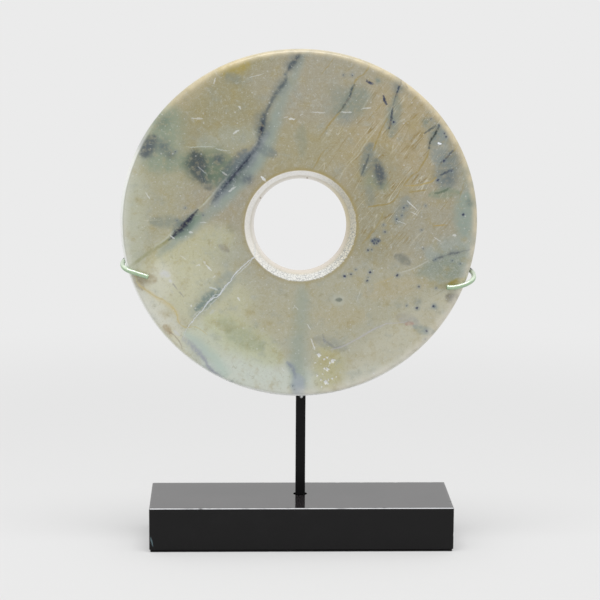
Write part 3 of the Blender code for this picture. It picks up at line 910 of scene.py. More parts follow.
# Scratches and flecks that stand out, as thin ovals
SCRATCHES: tuple[Patch, ...] = patches(
    (71.8, 13.8, 4.6, 0.45, MILK, 0.7, -39, 0.5), (73, 8.3, 2.6, 0.35, MILK, 0.49, -25, 0.5),
    (65.3, 2.5, 3.6, 0.35, MILK, 0.49, -20, 0.5), (-24, 30.6, 2.6, 1.0, MILK, 0.95, -50, 0.6),
    (28.5, 73.6, 4.2, 0.45, MILK, 0.49, 2, 0.4), (41.3, 75.8, 3.4, 0.4, MILK, 0.49, 5, 0.4),
    (11, 73, 4.6, 0.45, MILK, 0.49, -2, 0.4), (89, 53.5, 1.5, 0.9, (246, 246, 244), 0.95, 0, 0.5),
    (-41.3, 60.4, 2.4, 0.7, MILK, 0.61, 30, 0.4), (-64, 51.2, 10, 0.4, (196, 200, 184), 0.6, 3, 0.4),
    (-50, 49.2, 5, 0.4, (200, 203, 190), 0.6, -12, 0.4), (-55.2, 93, 2.2, 0.5, MILK, 0.57, 78, 0.4),
    (-28.5, 96.5, 5, 0.4, MILK, 0.41, 14, 0.2), (-6, 69, 2.0, 0.8, MILK, 0.7, 0, 0.4),
    (-9.5, 70, 1.4, 0.4, MILK, 0.49, 15, 0.2), (-39, 76, 1.4, 0.8, MILK, 0.61, -50, 0.2),
    (-66, 69.2, 3.6, 0.6, MILK, 0.45, 2, 0.2), (-98, 19.5, 2.6, 0.4, MILK, 0.57, -60, 0.2),
    (-95, 3.8, 6, 0.35, (204, 200, 176), 0.5, 4, 0.2), (-82.3, -7, 1.8, 0.6, MILK, 0.66, -40, 0.2),
    (-44, 24, 3.0, 0.8, MILK, 0.49, 35, 0.2), (-49, 34, 2.4, 0.7, MILK, 0.41, -40, 0.2),
    (-63, 36, 4.6, 0.4, (176, 178, 174), 0.6, -42, 0.2), (-59, -27, 2.8, 0.7, MILK, 0.7, -48, 0.4),
    (-61.6, -23.8, 1.3, 0.8, MILK, 0.49, -45, 0.2), (-65.5, -25.5, 1.4, 0.8, MILK, 0.57, 0, 0.2),
    (-55.5, -33, 1.4, 0.6, MILK, 0.49, 45, 0.2), (-56, -40.5, 3.2, 0.7, (204, 208, 200), 0.75, -20, 0.2),
    (-75.5, -20.5, 2.2, 0.5, MILK, 0.49, -40, 0.2), (-70.6, -4, 1.4, 0.7, MILK, 0.57, 0, 0.2),
    (-62.5, 2.4, 2.2, 0.5, MILK, 0.49, 5, 0.2), (-39.6, -47.6, 1.6, 0.8, MILK, 0.7, -50, 0.2),
    (-70, -52, 1.0, 1.0, MILK, 0.66, 0, 0.2), (-57, -56, 2.2, 1.4, (196, 198, 188), 0.5, 40, 0.2),
    (-80, -70, 3.2, 1.6, (206, 204, 198), 0.55, -45, 0.2), (8.6, -77.5, 4.2, 0.5, MILK, 0.7, -72, 0.5),
    (5.6, -66, 2.2, 0.45, MILK, 0.57, -60, 0.2), (-2.6, -53, 1.9, 0.4, MILK, 0.57, -48, 0.2),
    (-11.2, -94, 1.8, 0.5, MILK, 0.53, -55, 0.2), (99.3, -6, 1.5, 0.9, MILK, 0.57, 0, 0.2),
    (88.5, -8.6, 2.6, 0.5, MILK, 0.53, -30, 0.2), (38, -45, 4.2, 0.35, (208, 205, 190), 0.5, 70, 0.2),
    (43, 76.4, 2, 0.4, MILK, 0.33, 0, 0.2), (0, 71.8, 1.2, 0.5, MILK, 0.41, 10, 0.2),
)

# Short ochre hairs in the upper right
SHORT_HAIRS: tuple[Patch, ...] = patches(
    (17, 103, 7.5, 0.5, OCHRE, 0.5, 52, 0.2), (30.5, 100.5, 5, 0.45, OCHRE, 0.4, 40, 0.2),
    (47, 73.5, 8, 0.5, OCHRE, 0.5, 48, 0.2), (70.5, 69, 7, 0.55, OCHRE, 0.5, 40, 0.2),
    (75.5, 23, 6, 0.8, OCHRE, 0.75, 8, 0.2), (90, 0.6, 4.6, 0.6, (176, 148, 80), 0.75, 6, 0.2),
    (99, 50, 4, 0.6, OCHRE, 0.5, 52, 0.2), (75, 6, 8, 0.5, DULL_OCHRE, 0.4, 62, 0.2),
    (63, 50, 9, 0.45, DULL_OCHRE, 0.4, 58, 0.2), (34, 62, 10, 0.45, DULL_OCHRE, 0.45, 50, 0.2),
    (22, 52, 8, 0.4, DULL_OCHRE, 0.4, 47, 0.2), (74, 84, 6, 0.5, OCHRE, 0.4, 46, 0.2),
    (67, 58, 7, 0.45, DULL_OCHRE, 0.4, 66, 0.2), (104, 24, 7, 0.6, DULL_OCHRE, 0.5, 74, 0.2),
    (60, -8, 9, 0.45, DULL_OCHRE, 0.35, 40, 0.2), (92, -42, 7, 0.5, DULL_OCHRE, 0.35, 30, 0.2),
)

# Bruises by the lower rim, where the polish is broken away: places by radius
BRUISES: dict[float, tuple[tuple[float, float], ...]] = {
    1.3: ((21.5, -88.5), (18.2, -94), (17, -102.5), (12.5, -84.5)),
    0.75: ((22.8, -87.6), (16.2, -93.2), (16, -87.3), (18, -86), (14, -101), (18.6, -103.4), (11.5, -98),
           (19, -100.8), (21.4, -100), (19.8, -89.6), (-23.6, 30.2)),
    0.5: ((10, -89.5), (13.5, -90.5), (14.5, -105.5), (24, -99), (19, -91.6), (48.5, -96.5), (15, -97)),
}


@dataclass(frozen=True)
class JadeFinish:
    """Polished old nephrite: olive and tan, clouded, veined and finely scratched, with light and shade
    painted on the rim, in the hole and under the wire hooks.

    Args:
        centre: The hole's middle on the front face, in metres.
        rim_centre: The rim's own middle on the face, in millimetres from the hole's.
        rim_radii: The rim's half width and half height, in millimetres.
        bore_radius: The hole's radius at the front face, in millimetres.
        slant: How far the veins move right and up for each millimetre of depth.
        scratch_turns: The directions of the fine scratches, in degrees.
        scratch_strength: How much of the fine scratches covers what is below.
        dot_strength: The same for the pale dots.
        bruise_strength: The same for the bruises.
        bore_reach: A distance just outside the hole, in millimetres, that its directions are measured by.
    """

    centre: Vector
    rim_centre: tuple[float, float]
    rim_radii: tuple[float, float]
    bore_radius: float
    slant: tuple[float, float] = (0.38, -0.30)
    scratch_turns: tuple[float, ...] = (12.0, 38.0, 63.0, 101.0, 140.0, 168.0)
    scratch_strength: float = 0.55
    dot_strength: float = 0.5
    bruise_strength: float = 0.92
    bore_reach: float = 36.0

    UP_RIGHT = (0.62, 0.78, 0.0)
    DOWN_RIGHT = (0.62, -0.78, 0.0)
    LEFTWARD = (-0.98, 0.2, 0.0)
    UPWARD = (0.0, 1.0, 0.0)
    HAIR_ZONE = (62.0, 40.0, 0.0)
    HAIRS_IN_FIRST = 11
    SEAMS_IN_FIRST = 8
    BORE_SPOTS = {0.3: ((-25.6, 17.4), (4.4, 30.4))}

    def _solid(self, graph: Graph, here: Value) -> Value:
        """Shear places in the stone along the slant that its veins take through it."""
        x, depth, z = graph.split(here)
        return graph.join(x + depth * self.slant[0], z + depth * self.slant[1], depth * 0.5)

    def _flat(self, graph: Graph, solid: Value) -> Value:
        """Drop the depth."""
        return graph.vector('MULTIPLY', solid, (1.0, 1.0, 0.0))

    def _sheet(self, graph: Graph, solid: Value, flat: Value) -> Value:
        """Let the flat places wander gently, for seams and hairs."""
        return graph.drift(graph.drift(flat, 0.08, 1.6, 2.0, solid), 0.6, 0.7, 3.0, solid)

    def _cloudy(self, graph: Graph, solid: Value, sheet: Value) -> Value:
        """Stir the places strongly, for clouds with wisps and flecks at their edges."""
        return graph.drift(graph.drift(sheet, 0.11, 3.6, 2.0, solid), 0.9, 0.7, 2.0, solid)

    def _ragged(self, graph: Graph, solid: Value, sheet: Value) -> Value:
        """Fray the places finely, for dark seams that the grain breaks up."""
        return graph.drift(sheet, 0.8, 1.4, 4.0, solid)

    def _ground(self, graph: Graph, sheet: Value) -> Value:
        """Lay the broad colours of the ground."""
        height = graph.measure('DOT_PRODUCT', sheet, self.UPWARD)
        colour = graph.mix(lit((182, 178, 154)), lit(TAN), height.fade(-90.0, 20.0))
        for patch in GROUND:
            colour = patch.lay(graph, sheet, colour)
        return colour

    def _mottle(self, graph: Graph, solid: Value, colour: Value) -> Value:
        """Vary the ground between yellower and greyer stone, in patches and wisps."""
        broad = graph.grain(solid, 0.10, 3.0, 0.6)
        middle = graph.grain(solid, 0.34, 4.0, 0.65, 0.9)
        colour = graph.mix(colour, lit((164, 146, 88)), broad.fade(0.50, 0.74, 0.0, 0.42))
        colour = graph.mix(colour, lit((150, 156, 146)), broad.fade(0.48, 0.26, 0.0, 0.36))
        colour = graph.mix(colour, lit((190, 188, 172)), middle.fade(0.50, 0.76, 0.0, 0.50))
        return graph.mix(colour, lit((138, 126, 84)), middle.fade(0.47, 0.24, 0.0, 0.40))

    def _grain(self, graph: Graph, solid: Value, colour: Value) -> Value:
        """Dust the ground with the fine pale and dark grain of the polished stone."""
        fine = graph.grain(solid, 1.25, 4.0, 0.72, 0.8)
        tiny = graph.grain(solid, 3.0, 2.0, 0.6)
        colour = graph.mix(colour, lit((204, 203, 190)), fine.fade(0.51, 0.76, 0.0, 0.46))
        colour = graph.mix(colour, lit((112, 108, 88)), fine.fade(0.46, 0.22, 0.0, 0.34))
        return graph.mix(colour, lit((206, 205, 194)), tiny.fade(0.56, 0.74, 0.0, 0.26))

    def _veil(self, graph: Graph, solid: Value, below: Value, above: Value) -> Value:
        """Let the stone below show through marks in patches, so that none of them is even."""
        patchy = graph.grain(solid, 0.36, 3.0, 0.6).fade(0.32, 0.56, 0.55, 1.0)
        return graph.mix(below, above, patchy)

    def _hairlines(self, graph: Graph, sheet: Value, colour: Value) -> Value:
        """Draw the net of ochre hairs in the upper right, which slants down to the left."""
        zone = graph.measure('DISTANCE', sheet, self.HAIR_ZONE).fade(30.0, 68.0, 1.0, 0.0)
        patchy = graph.grain(sheet, 0.09, 2.0, 0.6).fade(0.38, 0.60, 0.0, 0.7) * zone
        for turn, hair_colour, thin in ((50, (142, 120, 62), 0.020), (57, (206, 198, 172), 0.014)):
            along = graph.place(sheet, (turn * 3.0, 0.0, 0.0), math.radians(turn), (64.0, 7.0, 1.0))
            net = graph.grain(along, 1.0, 1.6, 0.5)
            hair = abs(net - 0.5).fade(thin * 0.3, thin, 1.0, 0.0)
            colour = graph.mix(colour, lit(hair_colour), hair * patchy)
        return colour

    @staticmethod
    def _lay_all(things: Sequence[Patch | Vein]) -> Callable[[Graph, Value, Value], Value]:
        """Give the rule that lays patches or veins over a colour, one after another."""
        def paint(graph: Graph, sheet: Value, colour: Value) -> Value:
            """Lay each of them."""
            for thing in things:
                colour = thing.lay(graph, sheet, colour)
            return colour

        return paint

    @staticmethod
    def _nearest(graph: Graph, sheet: Value, spots: dict[float, tuple[tuple[float, float], ...]]) -> Value:
        """Give the distance to the edge of the nearest round spot, which is negative inside one."""
        total: Value | None = None
        for radius, places in spots.items():
            nearest: Value | None = None
            for x, z in places:
                away = graph.measure('DISTANCE', sheet, (x, z, 0.0))
                nearest = away if nearest is None else nearest.least(away)
            total = nearest - radius if total is None else total.least(nearest - radius)
        return total

    def _specks(self, graph: Graph, sheet: Value, colour: Value) -> Value:
        """Put in the dark blue specks."""
        nearest = self._nearest(graph, sheet, SPECKS)
        colour = graph.mix(colour, lit((130, 140, 140)), nearest.fade(-0.4, 1.9, 0.45, 0.0))
        return graph.mix(colour, lit((44, 54, 80)), nearest.fade(-0.75, 0.2, 0.95, 0.0))

    def _fine_scratches(self, graph: Graph, sheet: Value) -> Value:
        """Scatter short hair scratches in several directions and give their mask."""
        bent = graph.drift(sheet, 0.08, 3.0)
        total: Value | None = None
        for number, turn in enumerate(self.scratch_turns):
            length = 3.2 + 1.6 * (number % 3)
            lane = graph.place(bent, (17.0 * number, 9.0 * number, 0.0), math.radians(turn),
                               (length, 0.55, 1.0))
            gap, cell_number = graph.cells(lane)
            kept = cell_number.fade(0.83, 0.98)
            mark = gap.fade(0.06, 0.36, 1.0, 0.0) * kept
            total = mark if total is None else total.most(mark)
        return total * graph.grain(sheet, 0.07, 2.0).fade(0.36, 0.62, 0.25, 1.0)

    def _dots(self, graph: Graph, sheet: Value) -> Value:
        """Scatter small pale dots and give their mask."""
        gap, number = graph.cells(sheet, True, 0.42)
        dots = gap.fade(0.06, 0.22, 1.0, 0.0) * number.fade(0.68, 0.95)
        gap, number = graph.cells(sheet, True, 0.15)
        return dots.most(gap.fade(0.04, 0.11, 1.0, 0.0) * number.fade(0.60, 0.95))

    def _bruises(self, graph: Graph, sheet: Value) -> Value:
        """Give the mask of the places where the polish is broken."""
        return self._nearest(graph, graph.drift(sheet, 0.9, 2.6, 4.0), BRUISES).fade(-0.35, 0.15, 1.0, 0.0)

    def _rim_light_and_shade(self, graph: Graph, here: Value, colour: Value) -> Value:
        """Paint light and shade on the rim's rounding: cream light, most at the top and right, and a thin
        line of painted shade at the left.
        """
        x, _, z = graph.split(here)
        flat = graph.join(x, z, 0.0)
        oval = graph.place(flat, (*self.rim_centre, 0.0), 0.0, (*self.rim_radii, 1.0))
        reach = graph.measure('LENGTH', graph.drift(oval, 4.0, 0.014, 3.0))
        patchy = graph.grain(here, 0.12, 3.0).fade(0.34, 0.62, 0.45, 1.0)
        top = graph.measure('DOT_PRODUCT', oval, self.UP_RIGHT)
        low = graph.measure('DOT_PRODUCT', oval, self.DOWN_RIGHT)
        left = graph.measure('DOT_PRODUCT', oval, self.LEFTWARD)
        # Painted light: cream on the rounding at the top and right, where the overhead light falls and
        # shines through the stone.
        painted_top_light = reach.fade(0.955, 0.990) * top.fade(-0.25, 0.45, 0.0, 0.80)
        colour = graph.mix(colour, lit(RIM_LIGHT_CREAM), painted_top_light * patchy)
        # Painted glow of light through the stone, along the lower right of the rounding.
        pale = reach.fade(0.925, 0.992) * low.fade(0.45, 0.95, 0.0, 0.75)
        colour = graph.mix(colour, lit((226, 219, 200)), pale * patchy)
        # Painted glow of light through the stone, along the lower left of the rounding.
        glow = reach.fade(0.94, 0.995) * low.fade(0.4, -0.2, 0.0, 0.45) * top.fade(-0.1, -0.6)
        colour = graph.mix(colour, lit((224, 222, 206)), glow)
        # Painted light from the floor on the outermost rounding of the lower left half.
        under = reach.fade(0.984, 0.998) * top.fade(0.0, -0.4)
        colour = graph.mix(colour, lit((250, 247, 236)), under * 0.85)
        # Painted shade: a thin dark line on the rounding at the left.
        painted_edge_shade = abs(reach - 0.990).fade(0.001, 0.006, 1.0, 0.0) * left.fade(0.86, 0.97, 0.0, 0.35)
        return graph.mix(colour, lit((132, 134, 104)), painted_edge_shade)

    def _cracks(self, graph: Graph, here: Value) -> Value:
        """Give the mask of the fine cracks between the frosted band's crystals."""
        edges, _ = graph.cells(graph.drift(here, 0.5, 1.6, 2.0), False, 0.5, 'DISTANCE_TO_EDGE')
        return edges.fade(0.0, 0.10, 1.0, 0.0)

    def _bore(self, graph: Graph, here: Value, colour: Value, cracks: Value, frost: Value,
              lip: Value) -> Value:
        """Finish the hole's wall: a frosted, finely cracked band and a smooth cream lip.

        Args:
            graph: The group's nodes.
            here: Places on the stone, in millimetres from the hole's middle.
            colour: The colour under it.
            cracks: The mask of the fine cracks.
            frost: How frosted the surface is.
            lip: How lip-like it is.

        Returns:
            The new colour.
        """
        x, _, z = graph.split(here)
        flat = graph.join(x, z, 0.0)
        reach = graph.measure('LENGTH', flat)

        def towards(direction: Sequence[float]) -> Value:
            """Give how far a place lies in a direction, about 1 at the hole's edge."""
            return graph.measure('DOT_PRODUCT', flat, [part / self.bore_reach for part in direction])

        upper = towards(self.UP_RIGHT)
        border = reach.fade(self.bore_radius + 3.6, self.bore_radius + 0.4)
        colour = graph.mix(colour, lit((162, 142, 82)), border * upper.fade(-0.9, 0.5, 0.35, 0.65))
        grit = graph.grain(here, 1.5, 4.0, 0.8)
        right = towards((1.0, 0.1, 0.0)).fade(0.25, 0.95)
        level = towards((0.3, -0.95, 0.0))
        low = level.fade(0.0, 0.8)
        # The band's tones offset the light: painted paler towards the top, where the wall faces down into
        # shade, and darker towards the bottom, which faces up into the overhead light.
        crystal = graph.mix(lit((250, 244, 232)), lit((234, 227, 212)), level.fade(-0.8, 0.0))
        crystal = graph.mix(crystal, lit((214, 210, 198)), low)
        crystal = graph.mix(crystal, lit((208, 200, 176)), right)
        crystal = graph.mix(crystal, lit((240, 238, 228)), grit.fade(0.52, 0.70, 0.0, 0.5))
        crystal = graph.mix(crystal, lit((186, 182, 168)), grit.fade(0.44, 0.26, 0.0, 0.4))
        crystal = graph.mix(crystal, lit((136, 138, 136)), cracks * (low * 0.6 + right * 0.35 + 0.12))
        colour = graph.mix(colour, crystal, frost)
        cream = graph.mix(lit((236, 228, 213)), lit((216, 202, 166)), right)
        cream = graph.mix(cream, lit((216, 205, 188)), low)
        colour = graph.mix(colour, cream, lip)
        dots = self._nearest(graph, flat, self.BORE_SPOTS).fade(-0.1, 0.6, 0.7, 0.0)
        return graph.mix(colour, lit((134, 112, 84)), dots)

    def make(self) -> bpy.types.Material:
        """Build the material, from the ground up, each layer in a node group of its own.

        Returns:
            The material.
        """
        graph = Material("old_jade", self.centre)
        frost = graph.attribute("frost")
        lip = graph.attribute("lip")
        solid = graph.layer("slant", self._solid, graph.here)
        flat = graph.layer("flat", self._flat, solid)
        sheet = graph.layer("sheet", self._sheet, solid, flat)
        cloudy = graph.layer("cloudy", self._cloudy, solid, sheet)
        ragged = graph.layer("ragged", self._ragged, solid, sheet)
        scratches = graph.layer("fine scratches", self._fine_scratches, flat)
        dots = graph.layer("pale dots", self._dots, flat)
        bruises = graph.layer("bruises", self._bruises, flat)
        cracks = graph.layer("crystal cracks", self._cracks, graph.here)
        colour = graph.layer("ground", self._ground, cloudy)
        colour = graph.layer("mottle", self._mottle, solid, colour)
        colour = graph.layer("hairlines", self._hairlines, flat, colour)
        colour = graph.layer("grain", self._grain, solid, colour)
        plain = graph.layer("halos", self._lay_all(HALOS), cloudy, colour)
        # Clouds, with the shadows painted under the wire hooks.
        colour = graph.layer("clouds", self._lay_all(CLOUDS_AND_HOOK_SHADOWS), cloudy, plain)
        colour = graph.layer("hairs above", self._lay_all(HAIRS[:self.HAIRS_IN_FIRST]), sheet, colour)
        colour = graph.layer("hairs below", self._lay_all(HAIRS[self.HAIRS_IN_FIRST:]), sheet, colour)
        colour = graph.layer("short hairs", self._lay_all(SHORT_HAIRS), sheet, colour)
        colour = graph.layer("seams above", self._lay_all(SEAMS[:self.SEAMS_IN_FIRST]), ragged, colour)
        colour = graph.layer("seams below", self._lay_all(SEAMS[self.SEAMS_IN_FIRST:]), ragged, colour)
        colour = graph.layer("veil", self._veil, solid, plain, colour)
        colour = graph.layer("specks", self._specks, ragged, colour)
        colour = graph.layer("scratches", self._lay_all(SCRATCHES), ragged, colour)
        colour = graph.mix(colour, lit((208, 207, 196)), scratches * self.scratch_strength)
        colour = graph.mix(colour, lit((214, 213, 204)), dots * self.dot_strength)
        # Light and shade painted on the rim's rounding.
        colour = graph.layer("rim", self._rim_light_and_shade, graph.here, colour)
        colour = graph.layer("bore", self._bore, graph.here, colour, cracks, frost, lip)
        colour = graph.layer("cracks", self._lay_all(CRACKS), ragged, colour)
        colour = graph.mix(colour, lit((228, 226, 218)), bruises * self.bruise_strength)
        height = graph.grain(flat, 0.9, 3.0) * 0.5 - scratches * 0.5 - cracks * frost
        roughness = 0.33 + scratches * 0.2 + frost * 0.35 + bruises * 0.3 - lip * 0.12
        return graph.finish({
            "Base Color": colour,
            "Roughness": roughness,
            "IOR": 1.5,
            "Normal": graph.bump(height, 0.00005, 0.6),
        })


@dataclass(frozen=True)
class PaintFinish:
    """Glossy pale celadon paint on wire, with a highlight painted along its upper side, gone where the wire
    passes behind the stone.

    Args:
        front: Depth where the paint starts to end, in millimetres.
        back: Depth where the wire is bare, in millimetres.
    """

    front: float
    back: float

    def make(self) -> bpy.types.Material:
        """Build the material."""
        graph = Material("celadon_paint")
        _, depth, _ = graph.split(graph.here)
        blotches = graph.grain(graph.here, 0.55, 3.0, 0.6)
        green = graph.mix(tone((134, 168, 128)), tone((154, 182, 138)), blotches.fade(0.40, 0.62))
        pale = graph.grain(graph.here, 1.4, 2.0).fade(0.55, 0.75, 0.0, 0.4)
        green = graph.mix(green, tone((186, 202, 182)), pale)
        # Painted highlight: the upper side of the wire is made paler, for the overhead light's reflection.
        green = graph.mix(green, tone((222, 234, 214)), graph.attribute("upper") * 0.7)
        gap, number = graph.cells(graph.here, False, 0.22)
        chips = gap.fade(0.10, 0.16, 1.0, 0.0) * number.fade(0.5, 0.55)
        green = graph.mix(green, tone((128, 152, 148)), chips * 0.4)
        ragged = depth + graph.grain(graph.here, 1.0, 2.0) * 1.2
        bare = ragged.fade(self.front, self.back)
        colour = graph.mix(green, tone((30, 32, 28)), bare)
        return graph.finish({
            "Base Color": colour,
            "Roughness": 0.2 + bare * 0.3,
            "IOR": 2.4,
            "Normal": graph.bump(blotches, 0.00006, 0.5),
        })


@dataclass(frozen=True)
class SteelFinish:
    """Blackened steel bar, satin, with faint draw lines and a few rubbed spots."""

    def make(self) -> bpy.types.Material:
        """Build the material."""
        graph = Material("blackened_steel")
        drawn = graph.grain(graph.place(graph.here, (0.0, 0.0, 0.0), 0.0, (0.12, 0.12, 9.0)), 1.0, 3.0)
        worn = graph.grain(graph.here, 0.6, 4.0, 0.7).fade(0.62, 0.75)
        colour = graph.mix(tone((10, 9, 10)), tone((34, 33, 34)), worn * 0.7)
        return graph.finish({
            "Base Color": colour,
            "Roughness": 0.34 + drawn * 0.16 - worn * 0.08,
            "IOR": 1.25,
            "Normal": graph.bump(drawn, 0.00002, 0.4),
        })


@dataclass(frozen=True)
class BlackStoneFinish:
    """Polished black stone with a film of dust on top, lightened to stand in for the top's reflected sheen
    too, a highlight painted along the front top chamfer, and a few small scuffs.

    Args:
        top: The top face's height, in millimetres.
        front: The front face's depth, in millimetres.
        chamfer: The width of the chamfers, in millimetres. A highlight is painted along the front top one.
    """

    top: float
    front: float
    chamfer: float

    SCUFF_PLACE = (-97.3, 7.2, 0.0)
    SCUFF_TURN = 104
    SCUFF_SIZE = (4.2, 0.7, 1.0)

    def make(self) -> bpy.types.Material:
        """Build the material."""
        graph = Material("polished_black_stone")
        x, depth, height = graph.split(graph.here)
        # The top's film of dust, lightened also to stand in for part of the sheen that the top reflects.
        dust_and_sheen = height.fade(self.top - 0.6, self.top - 0.05)
        cloud = graph.grain(graph.here, 0.03, 3.0, 0.55)
        colour = graph.mix(tone((8, 7, 8)), tone((46, 43, 44)), dust_and_sheen * cloud.fade(0.3, 0.7, 0.6, 0.95))
        smudge = graph.grain(graph.drift(graph.here, 0.03, 20.0), 0.06, 3.0).fade(0.5, 0.7)
        colour = graph.mix(colour, tone((30, 30, 31)), smudge * 0.12)
        gap, number = graph.cells(graph.here, False, 0.16)
        dust = gap.fade(0.035, 0.06, 1.0, 0.0) * number.fade(0.72, 0.75)
        colour = graph.mix(colour, tone((150, 145, 138)), dust * dust_and_sheen * 0.55)
        colour = graph.mix(colour, tone((90, 92, 92)), dust * (1 - dust_and_sheen) * 0.35)
        flat = graph.join(x, height, 0.0)
        scuff = graph.place(graph.drift(flat, 0.7, 0.8), self.SCUFF_PLACE, math.radians(self.SCUFF_TURN),
                            self.SCUFF_SIZE)
        on_front = depth.fade(self.front + 2.0, self.front + 0.5)
        mark = graph.measure('LENGTH', scuff).fade(0.4, 1.0, 1.0, 0.0) * on_front
        colour = graph.mix(colour, tone((96, 116, 122)), mark * 0.8)
        # Painted highlight: a near-white line along the front top chamfer, where the overhead light is
        # reflected.
        corner = self.front - self.top + self.chamfer
        edge = (depth - height).fade(corner - 0.14, corner + 0.04, 1.0, 0.0)
        colour = graph.mix(colour, tone((226, 227, 230)), edge * smudge.fade(0.0, 1.0, 0.95, 0.6))
        return graph.finish({
            "Base Color": colour,
            "Coat Weight": dust_and_sheen * 0.34,
            "Coat Roughness": 0.05,
            "Roughness": 0.07 + smudge * 0.05 + dust * 0.4 + mark * 0.4,
            "IOR": 1.33,
        })


@dataclass(frozen=True)
class ClearFinish:
    """A clear soft plastic strip."""

    def make(self) -> bpy.types.Material:
        """Build the material."""
        graph = Material("clear_strip")
        colour = graph.mix(tone((206, 208, 208)), tone((232, 233, 233)), graph.grain(graph.here, 0.8, 2.0))
        return graph.finish({"Base Color": colour, "Roughness": 0.25, "IOR": 1.45,
                             "Transmission Weight": 0.35})


@dataclass(frozen=True)
class FeltFinish:
    """Black felt with short matted hairs."""

    def make(self) -> bpy.types.Material:
        """Build the material."""
        graph = Material("black_felt")
        hairs = graph.grain(graph.drift(graph.here, 0.8, 3.0), 2.6, 5.0, 0.75)
        colour = graph.mix(tone((10, 10, 11)), tone((34, 33, 34)), hairs.fade(0.42, 0.72))
        return graph.finish({"Base Color": colour, "Roughness": 0.95, "IOR": 1.3,
                             "Sheen Weight": 0.15, "Normal": graph.bump(hairs, 0.0002, 0.8)})


# Sub-assemblies

